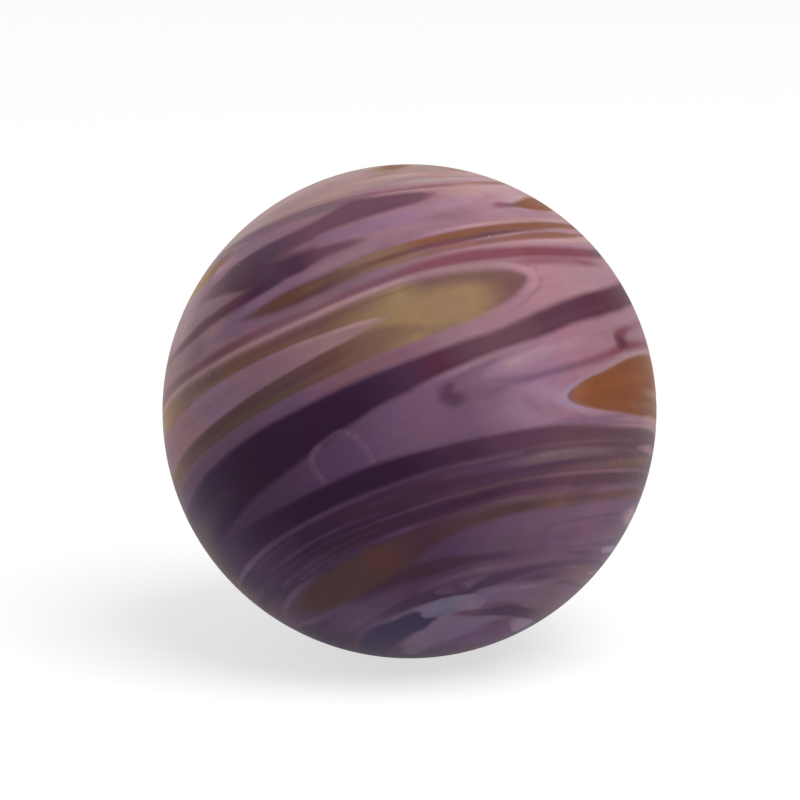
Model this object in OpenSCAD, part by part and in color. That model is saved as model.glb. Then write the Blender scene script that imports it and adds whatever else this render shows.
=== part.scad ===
// A round playing marble: one ball of fused opaque glass with a frosted skin.
// Swirls of coloured glass run through it. They are flush with the skin, so they
// change nothing of the ball's shape.
// Millimetres. The origin is the ball's centre, and +Z is up.

/* [Marble] */
// Diameter of the ball
marble_d = 16; // [12:0.5:50]

/* [Hidden] */

// Facets round the ball in OpenSCAD's own preview
$fn = 96;

// The mauve that most of the skin shows between the darker ribbons
glass_colour = "#8a6479";

module marble() {
    color(glass_colour)
        sphere(d = marble_d);
}

marble();
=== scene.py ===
# %% [markdown]
# # A frosted glass marble with a swirl of plum, mauve, olive and amber
#
# The real object is one ball of opaque glass, 16 mm across. Its maker gathers
# rods of coloured glass, melts them together and twists the soft lump as it
# turns, so the colours are drawn out into ribbons that wind round one axis.
# Tumbling with fine grit then takes the shine off. Nothing is painted on.
#
# The ball is one mesh here, and the ribbons are laid on it as curves. Each
# curve leaves its measurements on the mesh, and the material reads them.

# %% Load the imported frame
from math import asin, cos, pi, radians, sin, tan

import bmesh
import bpy
import numpy as np
from mathutils import Matrix, Vector


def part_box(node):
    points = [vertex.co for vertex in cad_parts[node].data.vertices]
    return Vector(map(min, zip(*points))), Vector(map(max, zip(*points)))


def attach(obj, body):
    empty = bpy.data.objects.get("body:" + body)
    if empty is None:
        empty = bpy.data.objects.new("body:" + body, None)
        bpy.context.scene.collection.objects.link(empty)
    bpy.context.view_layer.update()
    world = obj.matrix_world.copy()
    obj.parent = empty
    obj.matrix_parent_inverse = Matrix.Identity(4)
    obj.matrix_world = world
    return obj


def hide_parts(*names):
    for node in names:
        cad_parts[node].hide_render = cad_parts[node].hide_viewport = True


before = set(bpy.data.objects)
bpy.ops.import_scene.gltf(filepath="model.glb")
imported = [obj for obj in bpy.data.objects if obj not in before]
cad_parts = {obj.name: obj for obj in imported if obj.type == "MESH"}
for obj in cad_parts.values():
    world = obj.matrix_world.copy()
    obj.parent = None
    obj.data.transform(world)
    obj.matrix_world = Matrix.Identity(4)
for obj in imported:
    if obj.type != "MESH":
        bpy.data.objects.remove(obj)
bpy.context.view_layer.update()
ball_low, ball_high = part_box("marble")
BALL_CENTRE = (ball_low + ball_high) / 2
BALL_RADIUS = (ball_high.z - ball_low.z) / 2
MM = 0.001
print(f"ball: {2 * BALL_RADIUS / MM:.2f} mm across, centre {tuple(BALL_CENTRE)}")

# %% [markdown]
# ## Two small helpers
#
# Colours are given as sRGB hex values, as in any paint program, but Blender
# mixes light in linear values, so one function turns a hex value to linear.
# One more adds a shader node: it takes the node's settings as keywords, and
# what goes into its sockets, plain values or links, as a dictionary.

# %% Helpers for colours and nodes
def glass_colour(hex_value):
    channels = [int(hex_value[i:i + 2], 16) / 255 for i in (1, 3, 5)]
    linear = [c / 12.92 if c <= 0.04045 else ((c + 0.055) / 1.055) ** 2.4 for c in channels]
    return (*linear, 1.0)


def add_node(tree, kind, sockets=None, **settings):
    node = tree.nodes.new("ShaderNode" + kind)
    for name, value in settings.items():
        setattr(node, name, value)
    for socket, value in (sockets or {}).items():
        if isinstance(value, bpy.types.NodeSocket):
            tree.links.new(value, node.inputs[socket])
        else:
            node.inputs[socket].default_value = value
    return node


print(f"the grey #808080 lets back {glass_colour('#808080')[0]:.3f} of the light")

# %% [markdown]
# ## Camera
#
# The ball fills 62% of the picture's width and looks nearly flat-on, as with a
# long lens some way off. A camera twenty radii away sees a hair less than half
# of the ball. The lens is worked out from the size of the ball in the picture,
# and a small shift puts the ball as far off the middle as it is there.

# %% Make the camera
PICTURE = 800
BALL_IN_PICTURE = (409.5, 411.3)
BALL_RADIUS_IN_PICTURE = 247.1
CAMERA_RADII_AWAY = 20
CAMERA_UP = radians(12)
SENSOR_MM = 36

toward_camera = Vector((0, -cos(CAMERA_UP), sin(CAMERA_UP)))
half_angle = asin(1 / CAMERA_RADII_AWAY)

camera_data = bpy.data.cameras.new("camera")
camera_data.sensor_width = SENSOR_MM
camera_data.lens = BALL_RADIUS_IN_PICTURE / PICTURE * SENSOR_MM / tan(half_angle)
camera_data.shift_x = (PICTURE / 2 - BALL_IN_PICTURE[0]) / PICTURE
camera_data.shift_y = (BALL_IN_PICTURE[1] - PICTURE / 2) / PICTURE
camera_data.clip_start = 0.001
camera_data.clip_end = 5
camera = bpy.data.objects.new("camera", camera_data)
camera.location = BALL_CENTRE + toward_camera * BALL_RADIUS * CAMERA_RADII_AWAY
camera.rotation_mode = "QUATERNION"
camera.rotation_quaternion = toward_camera.to_track_quat("Z", "Y")
bpy.context.collection.objects.link(camera)
bpy.context.scene.camera = camera
bpy.context.scene.view_settings.view_transform = "Standard"
camera_axes = camera.rotation_quaternion.to_matrix()
print(f"lens {camera_data.lens:.1f} mm, {camera.location.length / MM:.0f} mm from the ball")

# %% [markdown]
# ## The floor
#
# The ball lies on a pale sheet of paper, whose own grey takes its shadow. White
# paper could be lit until it is white, but then it would flood the ball with
# light from below. So it is lifted to near white only where it is seen
# directly, by the camera, in a reflection or through glass. The Light Path
# node tells those rays from the rest.

# %% Make the floor
FLOOR_HALF = 0.6
FLOOR_LIFT = 0.66


def seen_directly(tree):
    path = add_node(tree, "LightPath")
    shows = add_node(tree, "Math", {0: path.outputs["Is Camera Ray"], 1: path.outputs["Is Glossy Ray"]},
                     operation="MAXIMUM")
    return add_node(tree, "Math", {0: shows.outputs[0], 1: path.outputs["Is Transmission Ray"]},
                    operation="MAXIMUM").outputs[0]


floor_paper = bpy.data.materials.new("pale_matt_paper")
floor_paper.use_nodes = True
tree = floor_paper.node_tree
tree.nodes.clear()
paper = add_node(tree, "BsdfDiffuse", {"Color": glass_colour("#bdbdbb")})
lift = add_node(tree, "Emission", {"Color": glass_colour("#ffffff"), "Strength": FLOOR_LIFT})
lifted = add_node(tree, "AddShader", {0: paper.outputs[0], 1: lift.outputs[0]})
paper_seen = add_node(tree, "MixShader", {
    0: seen_directly(tree), 1: paper.outputs[0], 2: lifted.outputs[0],
})
add_node(tree, "OutputMaterial", {"Surface": paper_seen.outputs[0]})

floor_bm = bmesh.new()
bmesh.ops.create_grid(floor_bm, x_segments=1, y_segments=1, size=FLOOR_HALF)
bmesh.ops.translate(floor_bm, vec=(0, 0, ball_low.z), verts=floor_bm.verts)
floor_mesh = bpy.data.meshes.new("floor")
floor_bm.to_mesh(floor_mesh)
floor_bm.free()
floor_mesh.materials.append(floor_paper)
floor = bpy.data.objects.new("floor", floor_mesh)
bpy.context.collection.objects.link(floor)
print(f"floor: {2 * FLOOR_HALF:.1f} m square, at {ball_low.z / MM:.1f} mm")

# %% [markdown]
# ## The room and its lamps
#
# The ball is lit softly from above and a little from the right. One large lamp
# does that. A weaker one behind the upper left gives the edge there its pale
# haze. The room itself gives a little light from all sides, and it too looks
# white wherever it is seen directly.

# %% Light the room
SOFT_LIGHT = 0.26

world = bpy.data.worlds.new("soft_white_room")
bpy.context.scene.world = world
world.use_nodes = True
tree = world.node_tree
tree.nodes.clear()
soft = add_node(tree, "Background", {"Color": glass_colour("#ffffff"), "Strength": SOFT_LIGHT})
white = add_node(tree, "Background", {"Color": glass_colour("#ffffff"), "Strength": 1.0})
room = add_node(tree, "MixShader", {0: seen_directly(tree), 1: soft.outputs[0], 2: white.outputs[0]})
add_node(tree, "OutputWorld", {"Surface": room.outputs[0]})


def add_lamp(name, toward, distance, size, brightness):
    """A square soft lamp. A matt white surface that faces it renders at this brightness."""
    lamp_data = bpy.data.lights.new(name, "AREA")
    lamp_data.shape = "SQUARE"
    lamp_data.size = size
    lamp_data.energy = brightness * pi * pi * distance ** 2
    lamp = bpy.data.objects.new(name, lamp_data)
    direction = Vector(toward).normalized()
    lamp.location = BALL_CENTRE + direction * distance
    lamp.rotation_mode = "QUATERNION"
    lamp.rotation_quaternion = direction.to_track_quat("Z", "Y")
    bpy.context.collection.objects.link(lamp)
    print(f"{name}: {lamp_data.energy:.2f} W")


above_right = camera_axes @ Vector((0.38, 0.72, 0.58))
behind_left = camera_axes @ Vector((-0.70, 0.34, -0.63))
add_lamp("overhead_lamp", toward=above_right, distance=0.40, size=0.30, brightness=0.74)
add_lamp("rim_lamp", toward=behind_left, distance=0.40, size=0.20, brightness=0.17)

# %% [markdown]
# ## The ball
#
# A marble is a true ball, so it is best made the way a lathe would: a point on
# the axis is spun by half a turn and leaves a half circle, and the half circle
# is spun by a full turn. The axis is the one that the glass was twisted round.

# %% Spin the ball
RINGS = 400
MERIDIANS = 240
TWIST_AROUND = radians(110)
TWIST_TOWARD_LENS = radians(-12)
SAME_POINT = BALL_RADIUS * 1e-5

twist_in_picture = Vector((
    cos(TWIST_TOWARD_LENS) * cos(TWIST_AROUND),
    cos(TWIST_TOWARD_LENS) * sin(TWIST_AROUND),
    sin(TWIST_TOWARD_LENS),
))
twist_axis = camera_axes @ twist_in_picture
twist_front = (toward_camera - twist_axis * toward_camera.dot(twist_axis)).normalized()
twist_side = twist_axis.cross(twist_front)
twist_frame = Matrix((twist_front, twist_side, twist_axis)).transposed()
globe_to_room = Matrix.Translation(BALL_CENTRE) @ twist_frame.to_4x4()

ball_bm = bmesh.new()
pole = ball_bm.verts.new((0, 0, -BALL_RADIUS))
bmesh.ops.spin(ball_bm, geom=[pole], cent=(0, 0, 0), axis=(0, -1, 0), angle=pi, steps=RINGS)
bmesh.ops.spin(ball_bm, geom=ball_bm.verts[:] + ball_bm.edges[:], cent=(0, 0, 0), axis=(0, 0, 1),
               angle=2 * pi, steps=MERIDIANS, use_merge=True)
bmesh.ops.remove_doubles(ball_bm, verts=ball_bm.verts, dist=SAME_POINT)
bmesh.ops.recalc_face_normals(ball_bm, faces=ball_bm.faces)
bmesh.ops.transform(ball_bm, matrix=globe_to_room, verts=ball_bm.verts)
for face in ball_bm.faces:
    face.smooth = True
ball_mesh = bpy.data.meshes.new("marble_ball")
ball_bm.to_mesh(ball_mesh)
ball_bm.free()
ball = bpy.data.objects.new("marble_ball", ball_mesh)
bpy.context.collection.objects.link(ball)
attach(ball, "root")
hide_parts("marble")
print(f"ball: {len(ball_mesh.vertices)} points, {len(ball_mesh.polygons)} faces")

# %% [markdown]
# ## The rods of glass
#
# A marble maker works from a box of coloured rods. These are the rods of this
# marble, each with the colour of the opaque glass itself, before any light or
# shadow falls on it. Every ribbon below is drawn from them, and where two rods
# meet along a ribbon, the colour passes smoothly from one to the next. A few
# ribbons use them to paint a reflection, glints and sheen onto the glass.

# %% The colours of the rods
RODS = {
    "blush": "#c9a09f",
    "shell": "#d9aba4",
    "pale_rose": "#bd9396",
    "petal": "#c398a2",
    "rose_ash": "#a47e83",
    "rose": "#b18490",
    "pink_rose": "#ae7b8b",
    "old_rose": "#a67a88",
    "dusty_rose": "#98707f",
    "dull_rose": "#8c6171",
    "mauve_taupe": "#866675",
    "taupe_rose": "#b1918e",
    "taupe": "#a2786d",
    "pale_ash": "#b8a6a3",
    "mushroom": "#8c6765",
    "putty": "#bc8b70",
    "straw": "#c9ae7c",
    "turmeric": "#a57431",
    "mustard": "#b18c4c",
    "khaki": "#96703f",
    "ochre": "#804b1b",
    "honey": "#a0815d",
    "tan": "#8f6d59",
    "olive": "#7c5b52",
    "moss": "#6f5d44",
    "umber": "#63464a",
    "hazel": "#97695a",
    "hazel_rose": "#a6766c",
    "cinnamon": "#85593a",
    "cocoa": "#7e5a56",
    "rosewood_brown": "#78534f",
    "chestnut": "#6c4544",
    "peat": "#62403a",
    "ash": "#6a5a61",
    "bark": "#523749",
    "amber": "#8b5331",
    "sienna": "#995c41",
    "burnt_amber": "#85492a",
    "rust": "#87543f",
    "russet": "#7d4733",
    "garnet": "#76444a",
    "raspberry": "#884c5d",
    "claret": "#80404f",
    "rosewood": "#845765",
    "wine": "#6f3f50",
    "mahogany": "#693445",
    "dull_plum": "#6f485a",
    "faded_damson": "#694552",
    "damson": "#5c3649",
    "black_cherry": "#562138",
    "aubergine": "#40163a",
    "oxblood": "#3f0d2c",
    "plum": "#4c2d46",
    "deep_plum": "#361b38",
    "blue_plum": "#43284b",
    "dusk": "#5a4160",
    "mulberry": "#5e3d54",
    "dull_mulberry": "#6a4a57",
    "ash_mauve": "#7e646c",
    "violet": "#6d4877",
    "thistle": "#785b7c",
    "deep_mauve": "#68486a",
    "heather": "#7b5a76",
    "mauve": "#8d6a82",
    "orchid": "#a27c95",
    "pale_mauve": "#ad8b9d",
    "orchid_rose": "#98718c",
    "lavender": "#ad91aa",
    "lilac": "#a084a6",
    "lilac_grey": "#866c8b",
    "white_lilac": "#c09fc0",
    "slate": "#53436c",
    "pale_slate": "#958aaa",
    "grape": "#825a86",
}
print(f"{len(RODS)} rods")

# %% [markdown]
# ## How a ribbon is written down
#
# On a globe whose poles are the ends of the twist axis, nearly every ribbon
# runs from west to east. So a ribbon is a short list of stations: how far
# round it is (0 faces the camera), how far above the globe's equator, and half
# its width there, all in degrees. On this ball a degree is 0.14 mm. A smooth
# curve joins the stations, and both ends are round. A ribbon also has its rods,
# each at a place round the ball, where a third number thins the glass so that
# what lies beneath shows through. Last come how many degrees its soft edge
# takes, and how ragged that edge is. Ribbons are laid from the bottom up.

# %% Lists to lay the ribbons in
zones = []


def start_zone(name):
    zones.append({"name": name, "ribbons": []})


def lay(name, stations, rods, soft=0.9, rag=1.0):
    ribbon = {"name": name, "stations": stations, "rods": rods, "soft": soft, "rag": rag}
    zones[-1]["ribbons"].append(ribbon)


def count_ribbons():
    print(f"{zones[-1]['name']}: {len(zones[-1]['ribbons'])} ribbons so far")


# %% [markdown]
# ## The ground
#
# Between the clear ribbons lies the glass that the lump was mostly made of:
# bands of rose, mauve and lilac that run into each other with no sharp edge.

# %% Lay the ground bands
start_zone("ground")
lay("top_ground",
    [(-180, 70, 24), (-90, 72, 21), (-45, 72, 19), (-20, 72, 20), (5, 71, 21), (20, 70.5, 24),
     (35, 69, 25.4), (50, 67.5, 25.9), (65, 68, 25.7), (90, 69, 24), (180, 70, 24)],
    [(-180, "taupe_rose"), (-64, "blush"), (-50, "taupe_rose"), (48, "taupe_rose"), (60, "taupe"),
     (110, "taupe"), (180, "taupe_rose")], soft=2.5)
lay("upper_rose_ground", [(-180, 39, 12), (0, 39, 12), (180, 39, 12)],
    [(-180, "old_rose"), (-62, "petal"), (-53, "dusty_rose"), (-10, "dusty_rose"), (15, "old_rose"),
     (32, "old_rose"), (44, "rose"), (56, "petal"), (90, "pale_rose"), (140, "dusty_rose"),
     (180, "old_rose")], soft=4)
lay("left_mauve_ground", [(-180, 24.5, 5), (0, 24.5, 5), (180, 24.5, 5)],
    [(-180, "mauve"), (-75, "pale_rose"), (-60, "rose"), (-50, "dull_rose"), (-43, "old_rose"),
     (-35, "heather"), (-28, "mauve"), (-5, "mauve"), (10, "dusty_rose"), (30, "old_rose"), (50, "rose"),
     (80, "pale_rose"), (140, "mauve"), (180, "mauve")], soft=5)
lay("middle_rose_ground",
    [(-180, 10, 11), (0, 10, 11), (20, 9.6, 11.8), (40, 9.6, 12.6), (80, 15, 11.5), (180, 10, 11)],
    [(-180, "old_rose"), (-75, "pale_rose"), (-60, "rose"), (-45, "old_rose"), (-20, "dusty_rose"),
     (5, "dusty_rose"), (25, "old_rose"), (32, "old_rose"), (41, "rose"), (60, "rose"), (85, "pink_rose"),
     (130, "old_rose"), (180, "old_rose")], soft=4)
lay("centre_mauve_ground",
    [(-180, -12, 11), (-60, -13, 10), (0, -12, 10), (25, -13.4, 10.7), (42, -11.6, 11.4), (60, -9.8, 12.3),
     (80, -8, 14), (180, -12, 11)],
    [(-180, "deep_mauve"), (-65, "dusk"), (-38, "dusk"), (-20, "deep_mauve"), (0, "heather"),
     (13, "heather"), (20, "mauve"), (28, "orchid"), (44, "pink_rose"), (56, "old_rose"), (75, "old_rose"),
     (120, "dusty_rose"), (180, "deep_mauve")], soft=3)
lay("striped_ground",
    [(-180, -32, 9), (0, -32, 9), (25, -33, 9), (40, -34.5, 9), (60, -36, 9), (80, -36, 9), (120, -33, 9),
     (180, -32, 9)],
    [(-180, "dusk"), (-60, "dusk"), (-40, "blue_plum"), (-10, "plum"), (8, "mulberry"), (25, "mulberry"),
     (40, "dull_mulberry"), (80, "dull_mulberry"), (130, "deep_mauve"), (180, "dusk")], soft=3)
lay("lower_mauve_ground", [(-180, -49, 10), (0, -49, 10), (180, -49, 10)],
    [(-180, "thistle"), (-80, "dusk"), (-60, "thistle"), (-45, "thistle"), (-22, "deep_mauve"),
     (-4, "deep_mauve"), (12, "heather"), (44, "mauve"), (52, "orchid_rose"), (64, "mauve"),
     (84, "heather"), (130, "heather"), (180, "thistle")], soft=4)
lay("bottom_ground", [(-180, -75, 18), (0, -75, 18), (180, -75, 18)],
    [(-180, "lilac"), (-70, "heather"), (-40, "lilac"), (-15, "lilac"), (10, "heather"), (40, "mauve"),
     (130, "mauve"), (180, "lilac")], soft=4)
count_ribbons()

# %% [markdown]
# ## The top cap
#
# Seen from the front, the far cap is a narrow strip of pale taupe glass. Faint
# streaks of rose and ash run in it, and some thin lines, all soft-edged.

# %% Lay the top cap
start_zone("top_cap")
lay("pale_cap_streak",
    [(2, 56.5, 0.8), (12, 56, 1.0), (22, 54.5, 1.2), (34, 52.5, 1.2), (46, 50.8, 1.1), (60, 50, 1.3),
     (95, 52, 1.2)],
    [(2, "blush", 0.2), (20, "blush", 0.4), (34, "blush", 0.7), (48, "putty", 0.5), (60, "blush", 0.5),
     (95, "blush", 0)], soft=2.5)
lay("ash_cap_veil", [(18, 50, 0.6), (30, 48.3, 1.6), (44, 46.9, 1.8), (54, 46.4, 0.8)],
    [(18, "pale_ash", 0.3), (32, "pale_ash", 0.6), (46, "pale_ash", 0.6), (54, "pale_ash", 0.2)], soft=2.5)
lay("rose_cap_streak", [(-5, 63, 1.2), (8, 61, 1.6), (20, 60, 1.4)],
    [(-5, "rose", 0.5), (20, "rose", 0.1)], soft=3)
lay("peach_cap_streak", [(-62, 58, 1.5), (-45, 60, 2), (-30, 63, 2.5), (-18, 66, 2.5), (10, 67, 2)],
    [(-62, "blush", 0.3), (-30, "blush", 0.7), (10, "blush", 0.4)], soft=4)
lay("grey_cap_streak",
    [(-66, 55.5, 0.7), (-50, 55.8, 1.2), (-34, 56.0, 1.4), (-16, 56.2, 1.1), (0, 56.4, 0.6)],
    [(-66, "pale_ash", 0.4), (-40, "pale_ash", 0.6), (-16, "rose_ash", 0.5), (0, "rose_ash", 0.3)],
    soft=2.3)
lay("cap_line_a", [(-44, 54.0, 0.25), (-24, 53.4, 0.35), (-6, 52.6, 0.35), (14, 50.6, 0.3)],
    [(-44, "mauve_taupe", 0.5), (-14, "mauve_taupe", 0.7), (14, "rose_ash", 0.4)])
lay("cap_line_b", [(-30, 58.6, 0.25), (-8, 58.2, 0.35), (14, 57.6, 0.35), (34, 55.2, 0.3), (58, 53.0, 0.3)],
    [(-30, "mauve_taupe", 0.3), (4, "rose_ash", 0.7), (30, "hazel", 0.4), (58, "hazel_rose", 0.5)])
lay("cap_line_c", [(16, 52.4, 0.25), (32, 49.8, 0.35), (48, 47.6, 0.4), (66, 47.2, 0.4)],
    [(16, "rose_ash", 0.3), (36, "hazel_rose", 0.7), (66, "hazel_rose", 0.5)])
count_ribbons()

# %% [markdown]
# ## The lens, the patch and the dark line of the cap
#
# A small khaki lens and an ochre patch at the left are the ends of rods that
# were folded over. A grey-plum band lies below them, and one thin dark line
# parts the cap from the rose glass underneath.

# %% Lay the lens, the patch and the dark line
lay("khaki_cap_lens",
    [(18, 60.5, 0.8), (23, 61.8, 2.0), (30, 62.2, 3.0), (38, 63, 3.2), (48, 66, 2.2), (60, 69, 1)],
    [(19, "taupe", 0.3), (27, "khaki", 0.8), (33, "ochre", 0.95), (42, "ochre", 0.9), (60, "khaki", 0.3)],
    soft=2.6)
lay("brown_cap_shade", [(16, 57.2, 0.6), (26, 57.8, 1.3), (36, 58, 1.4), (46, 57.2, 1.8), (60, 57, 1.5)],
    [(16, "hazel", 0.3), (26, "hazel", 0.5), (40, "hazel", 0.3), (60, "hazel", 0.1)], soft=2.2)
lay("ochre_patch",
    [(-84, 44, 2.5), (-72, 45.5, 3.6), (-62, 45.5, 3.4), (-54, 46.5, 3.0), (-48, 47.4, 2.4),
     (-44, 47.9, 1.8), (-40, 48.4, 0.9)],
    [(-84, "straw", 0.5), (-70, "mustard", 0.9), (-64, "mustard", 0.95), (-57, "turmeric", 0.95),
     (-50, "ochre", 0.95), (-44, "ochre", 0.9), (-40, "taupe", 0.4)], soft=2)
lay("ochre_patch_fold", [(-62, 49.5, 0.6), (-54, 48, 0.7), (-50, 47, 0.5)],
    [(-62, "rust", 0.5), (-50, "rust", 0.5)], soft=1.8)
lay("rose_fold_over_ochre", [(-62, 54.5, 1.0), (-54, 53, 1.2), (-46, 51.8, 0.9), (-40, 50.6, 0.6)],
    [(-62, "old_rose", 0.6), (-48, "old_rose", 0.8), (-40, "old_rose", 0.3)], soft=2.1)
lay("grey_plum_band",
    [(-54, 52.3, 0.7), (-44, 51.8, 1.2), (-34, 51.2, 1.8), (-20, 50.3, 1.9), (-10, 49.4, 1.9),
     (-3, 48.4, 1.8), (4, 47.6, 1.3), (10, 47.0, 0.9), (15, 46.7, 0.6)],
    [(-54, "mauve_taupe", 0.4), (-42, "dull_plum", 0.6), (-30, "dull_plum", 0.8), (-14, "ash_mauve", 0.95),
     (-2, "ash_mauve", 0.95), (8, "dull_plum", 0.5), (15, "dull_plum", 0.2)], soft=1.8)
lay("grey_veil", [(-44, 47.2, 0.8), (-36, 47.4, 1.6), (-28, 47.8, 1.5), (-20, 48.2, 0.8)],
    [(-44, "heather", 0.4), (-33, "heather", 0.7), (-20, "heather", 0.4)], soft=2.6)
lay("thin_dark_line",
    [(-180, 51, 1.0), (-150, 51.5, 0.7), (-110, 52.5, 0.6), (-70, 53, 0.5), (-40, 52.8, 0.3),
     (-5, 50.6, 0.35), (5, 49.2, 0.35), (12, 48, 0.45), (20, 46.3, 0.5), (28, 44.9, 0.6), (36, 43.8, 0.65),
     (44, 42.9, 0.8), (52, 42.7, 1.0), (60, 42.9, 1.0), (70, 43.8, 0.8), (90, 46, 0.6), (120, 49.5, 0.6),
     (150, 50.5, 0.8), (180, 51, 1.0)],
    [(-180, "wine", 0.9), (-120, "garnet", 0.7), (-60, "garnet", 0.3), (-40, "garnet", 0),
     (-5, "garnet", 0.2), (10, "garnet", 0.6), (24, "garnet", 0.75), (42, "hazel", 0.7), (50, "hazel", 0.9),
     (62, "cinnamon", 0.8), (90, "garnet", 0.5), (150, "wine", 0.8), (180, "wine", 0.9)], soft=1.1)
lay("pale_line_below",
    [(14, 45.8, 0.4), (22, 44.9, 0.45), (32, 43, 0.5), (44, 41.6, 0.5), (60, 41.4, 0.5), (75, 42.5, 0.4)],
    [(14, "blush", 0.2), (26, "blush", 0.5), (60, "blush", 0.5), (75, "blush", 0)], soft=1.8)
count_ribbons()

# %% [markdown]
# ## The plum patch at the upper left
#
# A fat drop of plum was drawn out to the right into two tongues, and lilac
# glass closed in between them. Its left edge is ragged where it folded.

# %% Lay the plum patch
start_zone("plum_patch")
lay("upper_left_rose",
    [(-48, 44.5, 1.4), (-38, 45.2, 1.4), (-28, 45.6, 1.2), (-18, 45.9, 1.7), (-10, 45.6, 1.4),
     (-3, 45.3, 0.5)],
    [(-48, "pale_rose", 0.7), (-36, "mauve", 0.6), (-22, "mauve", 0.9), (-10, "dusty_rose", 0.9),
     (-3, "dusty_rose", 0.9)], soft=1.8)
lay("patch_body",
    [(-53, 37.6, 0.6), (-48, 37.8, 2.0), (-43, 38, 3.2), (-37, 38, 4.6), (-30, 37.3, 6.2), (-24, 36.9, 6.7),
     (-18, 36.8, 6.2), (-14, 36.4, 5.2)],
    [(-53, "raspberry", 0.5), (-46, "mahogany", 0.9), (-38, "oxblood", 0.95), (-31, "oxblood", 0.93),
     (-26, "aubergine", 0.93), (-17, "dull_plum"), (-12, "dull_plum", 0.9)], soft=2.3)
lay("patch_pale_core", [(-52, 39.9, 0.3), (-47, 40.6, 0.6), (-41, 41.0, 0.5), (-37, 41.3, 0.2)],
    [(-52, "mauve", 0.4), (-45, "dusty_rose", 0.4), (-37, "wine", 0.2)], soft=2.1)
lay("patch_left_smudge", [(-38, 24.6, 0.3), (-35, 24.8, 0.9), (-31, 25.0, 0.9), (-27, 25.4, 0.4)],
    [(-38, "dusk", 0.3), (-34, "dusk", 0.5), (-27, "dusk", 0.2)], soft=1.8)
lay("patch_upper_tongue",
    [(-24, 40.6, 2.8), (-14, 41.2, 2.6), (-6, 41.5, 2.9), (0, 42.3, 3.7), (6, 42.9, 4.2), (12, 42.2, 3.7),
     (18, 41.7, 3.1), (24, 41.2, 2.3), (28, 41.0, 1.4), (31, 40.9, 0.4)],
    [(-24, "plum"), (-16, "mulberry"), (-8, "dull_plum"), (20, "dull_plum"), (27, "dull_plum", 0.9),
     (31, "raspberry", 0.6)], soft=2.2)
lay("patch_lower_tongue",
    [(-24, 33.4, 3.3), (-19, 32.9, 2.7), (-15, 32.3, 3.0), (-10, 32.4, 2.3), (-4, 32.3, 1.6),
     (1, 32.0, 1.2), (6, 31.7, 0.4)],
    [(-24, "plum"), (-14, "plum"), (-7, "dull_plum"), (0, "dull_plum", 0.9), (6, "dull_plum", 0.4)],
    soft=2.1)
lay("lilac_between_tongues",
    [(-16, 36.9, 0.3), (-12, 36.8, 0.9), (-6, 36.5, 1.6), (2, 36.2, 1.9), (10, 35.2, 2.2), (22, 34.9, 2.1),
     (34, 36.4, 2.2), (44, 37.8, 1.6)],
    [(-16, "mauve", 0.7), (-6, "mauve", 0.9), (6, "orchid_rose", 0.95), (20, "orchid", 0.7),
     (33, "pale_mauve", 0.5), (44, "petal", 0.7)], soft=2)
lay("rose_wedge",
    [(-80, 34.5, 2.4), (-62, 34.9, 2.0), (-54, 34.2, 1.4), (-46, 33.2, 0.9), (-38, 32.4, 0.6),
     (-30, 31.7, 0.2)],
    [(-80, "petal", 0.7), (-60, "petal", 0.9), (-54, "old_rose", 0.8), (-46, "dusty_rose", 0.7),
     (-30, "wine", 0.6)], soft=1.2)
lay("thin_plum_line",
    [(-120, 28.5, 0.5), (-75, 27.6, 0.6), (-65, 27.6, 0.9), (-57, 28.1, 1.3), (-50, 28.8, 1.6),
     (-40, 29.4, 1.7), (-30, 29.7, 1.7), (-22, 29.9, 1.2), (-15, 30.4, 0.5)],
    [(-120, "raspberry", 0.2), (-68, "raspberry", 0.6), (-59, "wine"), (-52, "black_cherry"),
     (-38, "black_cherry"), (-28, "aubergine"), (-22, "plum"), (-15, "plum", 0.5)], soft=1.8)
lay("lilac_under_patch",
    [(-48, 25.6, 1.0), (-38, 24.8, 1.6), (-30, 26, 1.0), (-18, 27.4, 0.8), (-6, 28, 0.9), (6, 28.6, 0.9)],
    [(-48, "old_rose", 0.4), (-38, "mauve", 0.6), (-15, "mauve", 0.9), (-8, "rose_ash", 0.8),
     (6, "rose_ash", 0.7)], soft=2.1)
count_ribbons()

# %% [markdown]
# ## The right shoulder
#
# A small amber lens comes over the right shoulder, with a smudge of raspberry
# in front of its tip. The rose around them is the palest on the ball.

# %% Lay the right shoulder
start_zone("right_shoulder")
lay("shoulder_rose", [(30, 31, 2.2), (42, 30, 2.2), (54, 29, 1.6), (70, 29, 1.2), (85, 30, 1.2)],
    [(30, "dusty_rose", 0.6), (45, "rose", 0.6), (56, "dusty_rose", 0.6), (70, "dusty_rose", 0.5),
     (85, "dusty_rose", 0.2)], soft=2.4)
lay("pale_over_smudge", [(32, 40.4, 0.6), (42, 40.4, 2.4), (52, 39.8, 2.2), (62, 39.6, 0.8)],
    [(32, "blush", 0.3), (44, "blush", 0.6), (54, "blush", 0.6), (62, "blush", 0.2)], soft=3)
lay("dusk_above_threads", [(16, 32.6, 0.6), (26, 32.0, 1.4), (34, 31.2, 1.2), (41, 30.8, 0.5)],
    [(16, "dusty_rose", 0.3), (27, "dull_rose", 0.6), (41, "dusty_rose", 0.2)], soft=2.6)
lay("raspberry_smudge",
    [(43.5, 32.1, 0.4), (46, 32.5, 1.1), (49.5, 32.4, 1.1), (53, 32.2, 0.7), (58, 31.9, 0.4)],
    [(44, "raspberry", 0.5), (47, "raspberry", 0.95), (51, "claret", 0.6), (54, "dull_rose", 0.25),
     (58, "dull_rose", 0.2)], soft=1.8)
lay("shoulder_lens_halo",
    [(51, 32.3, 0.9), (55, 32.6, 2.2), (62, 33.2, 3.2), (72, 34.5, 3.8), (90, 36.5, 4.2), (110, 37, 3)],
    [(49, "pale_rose", 0.5), (60, "blush", 0.7), (90, "blush", 0.5), (110, "blush", 0.3)], soft=2.1)
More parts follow.
